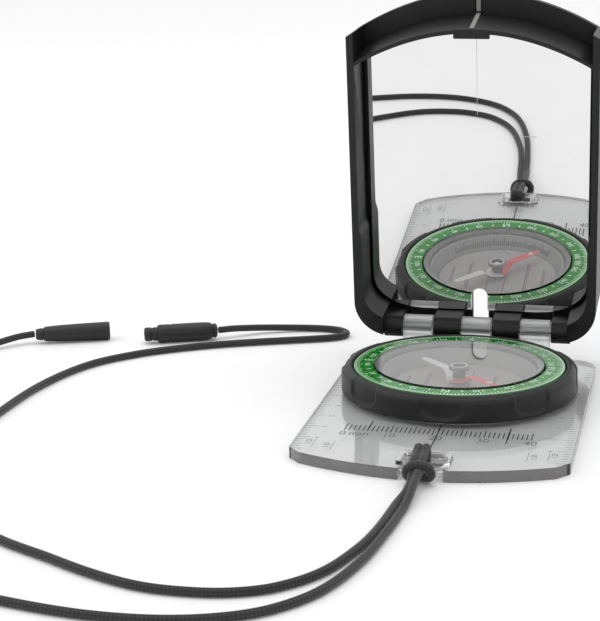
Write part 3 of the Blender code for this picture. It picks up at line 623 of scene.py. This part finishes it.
def male_half():
    """Barrel with a raised band near its shoulder, its plug with a snap groove, and the cord's collar."""
    place = connector_place((-69.0, 40.85), 202.5)
    collar = [(0.0, -0.2), (1.3, -0.2), (1.75, 0.05), (1.85, 0.3), (1.85, 0.7), (1.7, 0.98), (0.0, 0.98)]
    barrel = [(0.0, 1.0), (1.55, 1.0), (1.95, 1.2), (2.2, 1.75), (2.32, 3.0), (2.35, 6.0), (2.33, 11.6),
              (2.2, 11.75), (2.2, 12.0), (2.33, 12.15), (2.35, 14.5), (2.28, 14.9), (2.05, 15.2),
              (1.6, 15.32), (0.0, 15.32)]
    plug = [(0.0, 15.34), (1.72, 15.34), (1.75, 16.2), (1.62, 16.35), (1.62, 16.75), (1.78, 16.9),
            (1.8, 18.0), (1.7, 18.4), (1.45, 18.6), (1.0, 18.6), (0.9, 18.2), (0.0, 18.1)]
    return [connector_piece("male_collar_turned", collar, "male_collar", place),
            connector_piece("male_barrel", barrel, "male_connector", place),
            connector_piece("male_plug_turned", plug, "male_plug", place)]


def female_half():
    """Tapered socket with a softly rolled mouth, and the cord's collar."""
    place = connector_place((-113.8, 29.0), 22.0)
    collar = [(0.0, -0.2), (1.1, -0.2), (1.4, 0.1), (1.6, 1.3), (1.55, 1.7), (0.0, 1.7)]
    socket = [(0.0, 1.72), (1.4, 1.72), (1.7, 1.9), (1.92, 2.5), (2.1, 5.5), (2.22, 10.0), (2.33, 17.8),
              (2.3, 18.5), (2.15, 18.8), (2.0, 18.75), (1.95, 18.4), (1.95, 14.3), (0.0, 14.2)]
    return [connector_piece("female_collar_turned", collar, "female_collar", place),
            connector_piece("female_socket", socket, "female_connector", place)]


def lanyard():
    hitch, _, _ = tube("cow_hitch", HITCH, HITCH_R, 0.35, "lanyard_knot")
    leg_a, path_a, length_a = tube("lanyard_to_plug", LEG_A, 0.5 * CORD_D, 0.7, "lanyard_leg_a")
    leg_b, path_b, length_b = tube("lanyard_to_socket", LEG_B, 0.5 * CORD_D, 0.7, "lanyard_leg_b")
    male = male_half() + [hitch]
    female = female_half()


# ---------------------------------------------------------------- base plate

PLATE_HALF_W = 29.3
PLATE_FRONT = 55.2
PLATE_FRONT_SAG = 7.6
PLATE_REAR = 29.2
CORNER_R = 6.0
FRONT_CORNER_R = 1.6
FRONT_CORNER_UP = 2.4
HOUSING_HOLE_R = 21.9
COUNTERBORE_R = 23.4
COUNTERBORE_H = 1.2
BARREL_R = 2.8
PIN_BORE_R = 1.1
CLEAR_KNUCKLE_PITCH = 14.25
CLEAR_KNUCKLE_HALF = 3.5
BOSS_HALF_W = 5.6
BOSS_REAR = -46.3
BOSS_FRONT = -53.15
BOSS_LOW = 1.0
BOSS_RISE = 0.9
LANYARD_SLOT_Y = -48.575
LANYARD_SLOT_R = 1.175
LANYARD_SLOT_HALF = 3.125
RELIEF_HALF_W = 4.6
RELIEF_REAR = -47.6
RELIEF_H = 1.9
ROUND_STEPS = 128
PLATE_ROUNDING = 0.28
LUGS_FROM_Y = 20.0
FRONT_EDGE_BEFORE_Y = -46.0
UPRIGHT_WITHIN = 0.3            # the most that an upright face's normal leans
ROUNDING_FACE_AREA = 0.000001   # square metres; the rounding's faces are smaller
PRINT = Matrix.Translation((0.0, DIAL_Y, PLATE_T + 0.02))


def plate_front(x):
    """The bowed front edge."""
    return -PLATE_FRONT + PLATE_FRONT_SAG * (x / PLATE_HALF_W) ** 2


def plate_outline():
    w = PLATE_HALF_W
    points = arc(w - CORNER_R, PLATE_REAR - CORNER_R, CORNER_R, 0.0, 90.0, 14)
    points += arc(CORNER_R - w, PLATE_REAR - CORNER_R, CORNER_R, 90.0, 180.0, 14)
    ends = -PLATE_FRONT + PLATE_FRONT_SAG
    points += arc(FRONT_CORNER_R - w, ends + FRONT_CORNER_UP, FRONT_CORNER_R, 180.0, 235.0, 5)
    steps = 48
    span = w - FRONT_CORNER_R - 1.0
    points += [(x, plate_front(x)) for x in [-span + 2.0 * span * k / steps for k in range(steps + 1)]]
    return points + arc(w - FRONT_CORNER_R, ends + FRONT_CORNER_UP, FRONT_CORNER_R, 305.0, 360.0, 5)


def lug_outline():
    """Side view of a clear knuckle in the dial's place."""
    y = HINGE_Y - DIAL_Y
    points = [(y - BARREL_R, 1.0), (PLATE_REAR - 0.3, 1.0), (PLATE_REAR + 0.4, PLATE_T - 0.1)]
    return points + arc(y, HINGE_Z, BARREL_R, -65.0, 180.0, 40)


def lanyard_slot():
    x = LANYARD_SLOT_HALF
    right = arc(x, LANYARD_SLOT_Y, LANYARD_SLOT_R, -90.0, 90.0, 12)
    return right + arc(-x, LANYARD_SLOT_Y, LANYARD_SLOT_R, 90.0, 270.0, 12)


def base_plate():
    """Clear plate with its boss, lugs, hole and slot; the lugs are frosted and the front edge is sawn."""
    plate = finish_piece("acrylic_plate", prism(plate_outline(), 0.0, PLATE_T), ACRYLIC, "base", DIAL,
                         ["base_plate"])
    plate.data.materials.append(FROSTED)
    plate.data.materials.append(SAWN)
    w = BOSS_HALF_W
    boss = rounded([(w, BOSS_REAR), (-w, BOSS_REAR), (-w, BOSS_FRONT), (w, BOSS_FRONT)], 1.5, 5)
    edit(plate, prism(boss, BOSS_LOW, PLATE_T + BOSS_RISE), "UNION", DIAL)
    for side in (-1, 0, 1):
        centre = side * CLEAR_KNUCKLE_PITCH
        lug = prism(lug_outline(), centre - CLEAR_KNUCKLE_HALF, centre + CLEAR_KNUCKLE_HALF, "x")
        edit(plate, lug, "UNION", DIAL)
    for radius, top in ((HOUSING_HOLE_R, PLATE_T + 2.5), (COUNTERBORE_R, COUNTERBORE_H)):
        edit(plate, prism(disc(radius, 0.0, 0.0, ROUND_STEPS), -1.0, top), "DIFFERENCE", DIAL)
    edit(plate, prism(lanyard_slot(), -1.0, PLATE_T + 3.5), "DIFFERENCE", DIAL)
    w = RELIEF_HALF_W
    relief = [(-w, -60.0), (w, -60.0), (w, RELIEF_REAR), (-w, RELIEF_REAR)]
    edit(plate, prism(relief, -1.0, RELIEF_H), "DIFFERENCE", DIAL)
    bore = prism(disc(PIN_BORE_R, HINGE_Y - DIAL_Y, HINGE_Z, 28), -30.0, 30.0, "x")
    edit(plate, bore, "DIFFERENCE", DIAL)
    settle(plate, PLATE_ROUNDING, 2)
    frosted, sawn = 1, 2
    for face in plate.data.polygons:
        across = face.center.y / MM - DIAL_Y
        upright = abs(face.normal.z) < UPRIGHT_WITHIN
        if face.center.z / MM > PLATE_T + 0.4 and across > LUGS_FROM_Y:
            face.material_index = frosted
        elif upright and across < FRONT_EDGE_BEFORE_Y and face.area > ROUNDING_FACE_AREA:
            face.material_index = sawn


RULER_MM = 40
RULER_FOOT = -33.0
LINES_TO_Y = -26.0


def ruler_print():
    """Millimetre ruler with its figures, and the three direction lines."""
    bm = bmesh.new()
    for mm in range(RULER_MM + 1):
        length = 4.6 if mm % 5 == 0 else 3.7
        x = mm - 0.5 * RULER_MM
        bar(bm, (x, RULER_FOOT), (x, RULER_FOOT + length), 0.26)
    for x, low in ((-15.0, RULER_FOOT), (0.0, -45.6), (15.0, -36.2)):
        bar(bm, (x, low), (x, LINES_TO_Y), 0.3)
    finish_piece("ruler_ink", bm, BLACK_INK, "base", PRINT, smooth=0.0)
    figures = bmesh.new()
    narrow = Matrix.Diagonal((0.78, 1.0, 1.0, 1.0))
    for word, x in (("0", -20.0), ("mm", -16.4), ("10", -10.0), ("20", 0.0), ("30", 10.0), ("40", 20.0)):
        lettering(figures, word, 3.7, Matrix.Translation((x, RULER_FOOT - 2.2, 0.0)) @ narrow)
    finish_piece("ruler_figures", figures, GREY_INK, "base", PRINT, smooth=0.0)


SIDE_TICKS = 44
SIDE_TICK_STEP = 1.5
SIDE_SCALE_Y = -46.6


def side_scales():
    """Map scales along both long edges, with their ratios near the front corners."""
    bm = bmesh.new()
    for side in (-1, 1):
        edge = side * (PLATE_HALF_W - 0.5)
        for k in range(SIDE_TICKS):
            y = SIDE_SCALE_Y + SIDE_TICK_STEP * k
            length = 2.6 if k % 5 == 0 else 1.5
            bar(bm, (edge, y), (edge - side * length, y), 0.17)
        for k in range(1, 6):
            y = SIDE_SCALE_Y + 5.0 * SIDE_TICK_STEP * k
            place = Matrix.Translation((side * (PLATE_HALF_W - 4.6), y, 0.0))
            lettering(bm, str(k), 1.7, place @ Matrix.Rotation(math.radians(90.0 * side), 4, "Z"))
        bar(bm, (side * 24.6, -45.2), (side * 24.6, -38.6), 0.12)
        bar(bm, (side * 20.4, -46.4), (side * 20.4, -40.6), 0.12)
        for x, y, ratio in ((25.8, -41.9, "1:25"), (21.7, -43.5, "1:50")):
            place = Matrix.Translation((side * x, y, 0.0)) @ Matrix.Rotation(math.radians(90.0), 4, "Z")
            lettering(bm, ratio, 1.8, place)
    finish_piece("side_scale_ink", bm, FAINT_INK, "base", PRINT, smooth=0.0)


# ---------------------------------------------------------------- housing

BEZEL_R = 26.9
BEZEL_Z0 = PLATE_T + 0.4
BEZEL_TOP = PLATE_T + 5.95
DIAL_R = 24.1
DIAL_INNER_R = 19.6
DIAL_TOP = PLATE_T + 6.1
DIAL_UNDER = PLATE_T + 5.1
BAND_R = 23.35
FIGURES_R = 20.85
CAPSULE_R = 19.3
CAPSULE_INNER_R = 17.8
CAPSULE_FLOOR = 2.9
CAPSULE_RIM = 7.3
LENS_UNDER = 8.1
LENS_TOP = 8.9
GRIP_COUNT = 8
GRIP_HALF_DEG = 9.2
GRIP_FADE_DEG = 10.6
GRIP_FOOT_DEG = 9.5
GRIP_DEPTH = 0.5
SCALE_CONE_R = 15.9             # just inside the sloping scale ring, at the ticks' feet
SCALE_CONE_Z = 4.3
SCALE_SLOPE = 0.4
SCALE_END_DEG = 50


def smooth_step(value, low, high):
    """Ease from 0 at low to 1 at high."""
    t = min(1.0, max(0.0, (value - low) / (high - low)))
    return t * t * (3.0 - 2.0 * t)


def grip_radius(angle, radius, z):
    """Shallow scoops with rounded feet, the first one facing the lanyard."""
    if radius < DIAL_R + 1.8:
        return radius
    pitch = 360.0 / GRIP_COUNT
    off = abs((math.degrees(angle) + 90.0 + 0.5 * pitch) % pitch - 0.5 * pitch)
    foot = BEZEL_Z0 + 1.1 + 1.6 * (off / GRIP_FOOT_DEG) ** 4
    across = 1.0 - smooth_step(off, GRIP_HALF_DEG, GRIP_FADE_DEG)
    return radius - GRIP_DEPTH * across * smooth_step(z, foot - 0.5, foot + 0.25)


def bezel():
    """The grip ring: its outer wall, the dial's bed, and the skirt that turns in the plate's hole."""
    outer = [(BEZEL_R - 0.55, BEZEL_Z0), (BEZEL_R - 0.2, BEZEL_Z0 + 0.12)]
    outer += [(BEZEL_R, BEZEL_Z0 + 0.45 + 0.25 * k) for k in range(17)]
    outer += [(BEZEL_R - 0.08, BEZEL_TOP - 0.75), (BEZEL_R - 0.3, BEZEL_TOP - 0.3),
              (BEZEL_R - 0.75, BEZEL_TOP)]
    bed = DIAL_UNDER - GAP
    inner = [(DIAL_R + 1.1, PLATE_T + 6.2), (DIAL_R + 0.55, PLATE_T + 6.22), (DIAL_R + GAP, DIAL_TOP),
             (DIAL_R + GAP, bed), (DIAL_INNER_R, bed), (DIAL_INNER_R, bed - 1.0), (20.2, PLATE_T + 3.2),
             (20.2, COUNTERBORE_H), (HOUSING_HOLE_R - GAP, COUNTERBORE_H), (HOUSING_HOLE_R - GAP, BEZEL_Z0)]
    finish_piece("grip_bezel", turned(outer + inner, 480, grip_radius), BEZEL, "housing", DIAL,
                 ["bezel_ring"], 40.0)


def polar(radius, bearing_deg):
    """A place on the dial at a bearing clockwise from the dial's north, which faces the lanyard."""
    turn = Matrix.Rotation(math.radians(180.0 - bearing_deg), 4, "Z")
    return turn @ Matrix.Translation((0.0, radius, 0.0))


def dial_mark(bm, bearing_deg, inner, outer, width):
    """A printed line that runs outwards at a bearing."""
    start = polar(inner, bearing_deg).translation
    bar(bm, start.xy, polar(outer, bearing_deg).translation.xy, width)


def dial():
    top = DIAL_TOP
    ring = [(DIAL_INNER_R, DIAL_UNDER), (DIAL_R, DIAL_UNDER), (DIAL_R, top - 0.25),
            (DIAL_R - 0.08, top - 0.07), (DIAL_R - 0.25, top), (DIAL_INNER_R + 0.2, top),
            (DIAL_INNER_R, top - 0.15)]
    finish_piece("green_dial", turned(ring, 192), GREEN, "housing", DIAL, ["dial_ring"])
    rim = DIAL_R - 0.2
    band = [(BAND_R, top + 0.01), (rim, top + 0.01), (rim, top + 0.04), (BAND_R, top + 0.04)]
    finish_piece("luminous_band", turned(band, 192), LUMINOUS, "housing", DIAL)
    ink = bmesh.new()
    for degree in range(0, 360, 2):
        inner = 21.95 if degree % 20 == 0 else 22.3 if degree % 10 == 0 else 22.65
        dial_mark(ink, degree, inner, 23.4, 0.2)
    names = {0: "N", 90: "E", 180: "S", 270: "W"}
    for degree in range(0, 360, 10):
        if degree in names:
            lettering(ink, names[degree], 2.7, polar(FIGURES_R, degree))
        elif degree % 20 == 0:
            lettering(ink, str(degree), 1.9, polar(FIGURES_R, degree))
        else:
            dial_mark(ink, degree, 20.3, 21.3, 0.3)
    printed_on = DIAL @ Matrix.Translation((0.0, 0.0, top + 0.03))
    finish_piece("dial_graduation", ink, PALE_INK, "housing", printed_on, smooth=0.0)


def capsule():
    """Clear cup and flat lens, with the sloping declination scale inside the wall."""
    outer, inner = CAPSULE_R, CAPSULE_INNER_R
    rim, floor = CAPSULE_RIM, CAPSULE_FLOOR
    cup = [(0.0, 0.5), (outer - 0.7, 0.5), (outer - 0.2, 0.65), (outer, 1.0), (outer, rim - 0.1),
           (outer - 0.12, rim), (inner + 0.12, rim), (inner, rim - 0.1), (inner, floor + 0.2),
           (inner - 0.2, floor), (0.0, floor)]
    finish_piece("clear_cup", turned(cup, 160), CAPSULE, "housing", DIAL, ["capsule_cup"])
    lens = [(0.0, LENS_UNDER), (outer - 0.1, LENS_UNDER), (outer, LENS_UNDER + 0.1),
            (outer, LENS_TOP - 0.18), (outer - 0.06, LENS_TOP - 0.06), (outer - 0.2, LENS_TOP),
            (0.0, LENS_TOP)]
    finish_piece("flat_lens", turned(lens, 160), LENS, "housing", DIAL, ["capsule_lens"])
    cone = [(15.6, 3.2), (17.3, 3.2), (17.5, 3.4), (17.5, 6.8), (17.4, 6.9), (17.1, 6.9), (16.95, 6.8),
            (15.75, 3.85), (15.6, 3.6)]
    finish_piece("declination_cone", turned(cone, 160), CONE, "housing", DIAL, ["declination_ring"])
    scale = bmesh.new()
    for degree in range(-SCALE_END_DEG, SCALE_END_DEG + 1, 2):
        rise = 1.9 if degree % 10 == 0 else 1.2
        turn = Matrix.Rotation(math.radians(180.0 - degree), 4, "Z")
        head = SCALE_CONE_R + SCALE_SLOPE * rise
        corners = [(-0.16, SCALE_CONE_R, SCALE_CONE_Z), (-0.16, head, SCALE_CONE_Z + rise),
                   (0.16, head, SCALE_CONE_Z + rise), (0.16, SCALE_CONE_R, SCALE_CONE_Z)]
        scale.faces.new([scale.verts.new(turn @ Vector(corner)) for corner in corners])
    finish_piece("declination_ink", scale, BLACK_INK, "housing", DIAL, smooth=0.0)


def card_print():
    """Orienting lines: pairs parallel to north and south, with small marks between them."""
    black = bmesh.new()
    red = bmesh.new()
    for side in (-1, 1):
        bar(black, (side * 7.4, -7.4), (side * 7.4, 7.4), 0.28)
        bar(red, (side * 7.9, -7.2), (side * 7.9, 7.2), 0.28)
        bar(black, (side * 11.8, -4.6), (side * 11.8, 4.6), 0.22)
        bar(red, (side * 12.2, -4.2), (side * 12.2, 4.2), 0.22)
    bar(red, (-2.2, -10.0), (-2.2, 10.0), 0.25)
    bar(red, (2.2, -10.0), (2.2, 10.0), 0.25)
    bar(black, (-1.5, -12.6), (0.0, -14.2), 0.25)
    bar(black, (1.5, -12.6), (0.0, -14.2), 0.25)
    top = Matrix.Translation((0.0, DIAL_Y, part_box("orienting_card")[1][2] / MM + 0.02))
    finish_piece("orienting_black_ink", black, BLACK_INK, "housing", top, smooth=0.0)
    finish_piece("orienting_red_ink", red, RED_INK, "housing", top, smooth=0.0)


# ---------------------------------------------------------------- needle

NEEDLE_AZIMUTH_DEG = 46.0
NEEDLE = DIAL @ Matrix.Rotation(math.radians(NEEDLE_AZIMUTH_DEG), 4, "Z")
NEEDLE_TIP = 13.8
NEEDLE_TOP = 6.2
NEEDLE_DISC_R = 2.9
NEEDLE_DISC_Z = 4.59
NEEDLE_EYE_R = 1.0
LUME_R = 0.7
HUB_R = 1.5
HUB_FLANGE_R = 2.4
HUB_TOP = 7.3
HUB_RING_TOP = 7.75


def blade_half(name, sign, width_root, mat):
    """Half the disc round the pivot's eye, then an arm that steps up and tapers to its tip."""
    stations = [(0.0, width_root, 4.6), (2.7, width_root, 4.6), (3.2, width_root - 0.3, 4.85),
                (3.9, 2.3, 5.6), (4.5, 2.15, 6.0), (5.0, 2.1, 6.1), (9.0, 2.0, 6.17),
                (12.7, 1.6, NEEDLE_TOP), (NEEDLE_TIP - 0.1, 1.0, NEEDLE_TOP)]
    bm = bmesh.new()
    rows = []
    for along, width, z in stations:
        half = 0.5 * width
        spots = [(-half, z + 0.03), (-half + 0.05, z), (half - 0.05, z), (half, z + 0.03), (half, z + 0.17),
                 (half - 0.06, z + 0.22), (-half + 0.06, z + 0.22), (-half, z + 0.17)]
        rows.append([bm.verts.new((x, -sign * along, height)) for x, height in spots])
    for a, b in zip(rows, rows[1:]):
        for k in range(8):
            m = (k + 1) % 8
            bm.faces.new((a[k], a[m], b[m], b[k]))
    bm.faces.new(rows[0])
    bm.faces.new(rows[-1])
    bmesh.ops.recalc_face_normals(bm, faces=bm.faces[:])
    blade = finish_piece(name, bm, mat, "needle", NEEDLE, ["needle_blade"])
    side = 180.0 if sign > 0.0 else 0.0
    half_disc = arc(0.0, 0.0, NEEDLE_DISC_R, side, side + 180.0, 40)
    edit(blade, prism(half_disc, NEEDLE_DISC_Z, NEEDLE_DISC_Z + 0.24), "UNION", NEEDLE)
    edit(blade, prism(disc(NEEDLE_EYE_R, 0.0, 0.0, 40), 4.0, 7.0), "DIFFERENCE", NEEDLE)
    settle(blade)


def needle():
    """Red and white halves, the stepped hub with its grey ring and a white lip that is a painted highlight
    on the ring's inner edge, and the luminous spot.
    """
    blade_half("needle_north", 1.0, 3.0, RED_PAINT)
    blade_half("needle_south", -1.0, 2.8, WHITE_PAINT)
    spot = prism(disc(LUME_R, 0.0, -11.0, 28), NEEDLE_TOP + 0.22, NEEDLE_TOP + 0.26)
    finish_piece("needle_lume_spot", spot, LUME_SPOT, "needle", NEEDLE)
    r, top = HUB_FLANGE_R, HUB_TOP
    hub = [(1.25, 5.12), (HUB_R - 0.05, 5.12), (HUB_R, 5.2), (HUB_R, 6.35), (1.6, 6.5), (2.33, 6.92),
           (r, 7.02), (r, top - 0.02), (r - 0.02, top), (1.72, top), (1.7, top - 0.02), (1.7, 7.05),
           (0.0, 7.05), (0.0, 6.75), (1.25, 6.75)]
    finish_piece("hub_barrel", turned(hub, 72), HIDDEN_BLACK, "needle", DIAL, ["needle_hub"])
    cap = HUB_RING_TOP
    ring = [(1.7, top + 0.04), (1.76, top + 0.02), (r - 0.05, top + 0.02), (r, top + 0.08), (r, cap - 0.07),
            (r - 0.07, cap), (1.77, cap), (1.7, cap - 0.05)]
    finish_piece("hub_ring", turned(ring, 72), RING_GREY, "needle", DIAL, ["hub_cap"])
    # Painted highlight: a thin white lip stands in for the light caught by the clear ring's inner edge.
    lip = [(1.62, cap + 0.01), (1.95, cap + 0.01), (1.95, cap + 0.05), (1.62, cap + 0.05)]
    finish_piece("hub_lip_painted_highlight", turned(lip, 72), WHITE_PAINT, "needle", DIAL)
    dot = [(0.0, 7.06), (0.8, 7.06), (0.8, 7.16), (0.7, 7.2), (0.0, 7.2)]
    finish_piece("hub_dot", turned(dot, 40), WHITE_PAINT, "needle", DIAL)


# ---------------------------------------------------------------- lid

LID_HALF_W = 29.0
LID_WALL = 1.65
LID_RIM_D = -6.15
LID_MIRROR_D = 4.65
LID_FLOOR_D = 6.95
LID_BACK_D = 8.5
LID_BOTTOM_H = -0.4
LID_CORNER_R = 8.5
ARCH_SAG = 0.0106
ARCH_TOP_H = 81.0
LEDGE_TOP_H = 76.1
LEDGE_UNDER_H = 74.3
LEDGE_DRAFT = 0.8
HORN_RISE = 1.2
SLOT_TOP_H = 8.5
SIGHT_SLOT_HALF = 1.95
GRIP_HALF_W = 26.75
INNER_CORNER_R = 6.5
INNER_CORNER_H = 4.05
SIDE_WALL_FROM = 22.2           # from here outwards the bottom corner belongs to the side wall
WALL_STEP_H = 24.0
WALL_STEP_RISE = 3.0
TAB_HALF_W = 4.1
TAB_LOW_H = 73.1
GROOVE_HALF_W = 0.9
GROOVE_LOW_H = 72.0
MIRROR_T = 1.2
LINE_X = -0.2
LINE_LOW_H = 52.4
LINE_TOP_H = 73.6
CROSS_H = 47.3
ETCH_W = 0.11
LID_ROUNDING = 0.3
PIN_HALF_L = 21.6
BLACK_KNUCKLES = ((-22.6, -18.1), (-10.4, -3.85), (3.85, 10.4), (18.1, 22.6))


def arch(x, height):
    """The height at x of an arched edge that peaks at the given height."""
    return height - ARCH_SAG * x * x


def arch_points(half_w, height, steps):
    return [(x, arch(x, height)) for x in [half_w - 2.0 * half_w * k / steps for k in range(steps + 1)]]


def lid_floor_outline():
    w = LID_HALF_W
    centre_h = LID_BOTTOM_H + LID_CORNER_R
    points = arc(w - LID_CORNER_R, centre_h, LID_CORNER_R, -90.0, 0.0, 20)
    points += arch_points(w, ARCH_TOP_H, 56)
    return points + arc(LID_CORNER_R - w, centre_h, LID_CORNER_R, 180.0, 270.0, 20)


def side_wall_outline(side):
    """Front view of a side wall: thin above the eased step, thicker below it, with a round corner."""
    w = LID_HALF_W
    thin = w - LID_WALL
    edge = SIDE_WALL_FROM + 0.1
    points = [(SIDE_WALL_FROM, LID_BOTTOM_H)]
    outside = arc(w - LID_CORNER_R, LID_BOTTOM_H + LID_CORNER_R, LID_CORNER_R, -90.0, 0.0, 20)
    points += [p for p in outside if p[0] > edge]
    points += [(w, arch(w, ARCH_TOP_H)), (thin, arch(thin, ARCH_TOP_H))]
    points.append((thin, WALL_STEP_H + WALL_STEP_RISE))
    for k in range(1, 6):
        t = k / 6.0
        eased = smooth_step(t, 0.0, 1.0)
        points.append((thin - (thin - GRIP_HALF_W) * eased, WALL_STEP_H + WALL_STEP_RISE * (1.0 - t)))
    points.append((GRIP_HALF_W, WALL_STEP_H))
    r = INNER_CORNER_R
    inside = arc(GRIP_HALF_W - r, INNER_CORNER_H + r, r, 0.0, -90.0, 20)
    points += [p for p in inside if p[0] > edge]
    points.append((SIDE_WALL_FROM, INNER_CORNER_H + 0.2))
    return [(side * x, h) for x, h in points]


def lift_rim(bm, amount, rule):
    """Move the rim-side vertices that meet a rule up or down the lid."""
    for vert in bm.verts:
        if vert.co.y < LID_RIM_D + 0.1 and rule(vert.co):
            vert.co.z += amount
    return bm


def sight_slot():
    """The sighting slot, open at the bottom and round at the top."""
    outline = [(-SIGHT_SLOT_HALF, -3.0), (SIGHT_SLOT_HALF, -3.0)]
    return outline + arc(0.0, SLOT_TOP_H - SIGHT_SLOT_HALF, SIGHT_SLOT_HALF, 0.0, 180.0, 24)


def lid_shell():
    """Lid tray: floor, side walls, ledge with its tab, four knuckles, sighting slot, bore and groove."""
    floor = prism(lid_floor_outline(), LID_FLOOR_D, LID_BACK_D, "y")
    shell = finish_piece("lid_tray", floor, BLACK, "lid", LID, ["lid_shell"])
    for side in (-1, 1):
        wall = prism(side_wall_outline(side), LID_RIM_D, LID_FLOOR_D + 0.5, "y")
        edit(shell, lift_rim(wall, HORN_RISE, lambda co: co.z > 60.0), "UNION", LID)
    reach = LID_HALF_W - 0.5 * LID_WALL
    outline = arch_points(reach, LEDGE_TOP_H, 56) + arch_points(reach, LEDGE_UNDER_H, 56)[::-1]
    middle_h = 0.5 * (LEDGE_TOP_H + LEDGE_UNDER_H)
    ledge = prism(outline, LID_RIM_D, LID_FLOOR_D + 0.4, "y")
    edit(shell, lift_rim(ledge, -LEDGE_DRAFT, lambda co: co.z > arch(co.x, middle_h)), "UNION", LID)
    w = TAB_HALF_W
    tab = [(-w, TAB_LOW_H), (w, TAB_LOW_H), (w, TAB_LOW_H + 1.9), (-w, TAB_LOW_H + 1.9)]
    edit(shell, prism(tab, LID_RIM_D + 0.05, LID_RIM_D + 1.25, "y"), "UNION", LID)
    for x0, x1 in BLACK_KNUCKLES:
        side_view = [(LID_FLOOR_D + 0.4, LID_BOTTOM_H), (LID_FLOOR_D + 0.4, 2.6)]
        side_view += arc(0.0, 0.0, BARREL_R, 100.0, 345.0, 36)
        edit(shell, prism(side_view, x0, x1, "x"), "UNION", LID)
    edit(shell, prism(sight_slot(), 4.0, 12.0, "y"), "DIFFERENCE", LID)
    bore = prism(disc(PIN_BORE_R, 0.0, 0.0, 28), -PIN_HALF_L - GAP, PIN_HALF_L + GAP, "x")
    edit(shell, bore, "DIFFERENCE", LID)
    w = GROOVE_HALF_W
    groove = [(-w, GROOVE_LOW_H), (w, GROOVE_LOW_H), (w, GROOVE_LOW_H + 12.0), (-w, GROOVE_LOW_H + 12.0)]
    edit(shell, prism(groove, 6.0, LID_FLOOR_D + 0.5, "y"), "DIFFERENCE", LID)
    settle(shell, LID_ROUNDING, 2)


# From the mirror's low straight edge up round its corner, on the right-hand side.
MIRROR_CORNER = ((14.0, 2.9), (17.2, 3.2), (19.7, 3.75), (22.2, 4.9), (23.5, 5.75), (24.7, 6.9),
                 (25.7, 8.5), (26.2, 10.4), (26.3, 12.4))


def mirror():
    """Acrylic mirror with its straight bottom edge, its sighting notch and the etched lines."""
    outline = list(MIRROR_CORNER)
    outline += arch_points(MIRROR_CORNER[-1][0], LEDGE_UNDER_H - GAP, 48)
    outline += [(-x, h) for x, h in MIRROR_CORNER[::-1]]
    sheet = prism(outline, LID_MIRROR_D, LID_MIRROR_D + MIRROR_T, "y")
    glass = finish_piece("mirror_plate", sheet, SILVER, "lid", LID, ["mirror_glass"])
    edit(glass, prism(sight_slot(), 3.0, 8.0, "y"), "DIFFERENCE", LID)
    settle(glass, 0.15, 1)
    lines = bmesh.new()
    bar(lines, (LINE_X, LINE_LOW_H), (LINE_X, LINE_TOP_H), ETCH_W)
    bar(lines, (10.8, CROSS_H), (13.9, CROSS_H), ETCH_W)
    upright = Matrix.Rotation(math.radians(90.0), 4, "X")
    in_front = LID @ Matrix.Translation((0.0, LID_MIRROR_D - 0.02, 0.0))
    finish_piece("mirror_etching", lines, ETCH, "lid", in_front @ upright, smooth=0.0)


# ---------------------------------------------------------------- carried-over CAD pieces

def finish_cad_nodes():
    """Give the CAD pieces that stay in view their detailed materials."""
    for node, mat in (("hinge_pin", STEEL), ("retaining_ring", BEZEL), ("orienting_card", CARD),
                      ("capsule_seal", SILICONE), ("pivot_boss", HIDDEN_BLACK), ("pivot_pin", STEEL),
                      ("needle_magnet", MAGNET), ("needle_jewel", JEWEL), ("mirror_pad", FOAM),
                      ("ledge_line", SIGHT_GREY), ("lip_line", SIGHT_GREY)):
        for material_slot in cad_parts[node].material_slots:
            material_slot.material = mat


camera()
studio()
lanyard()
base_plate()
ruler_print()
side_scales()
bezel()
dial()
capsule()
card_print()
needle()
lid_shell()
mirror()
finish_cad_nodes()
keep_faces_flat()
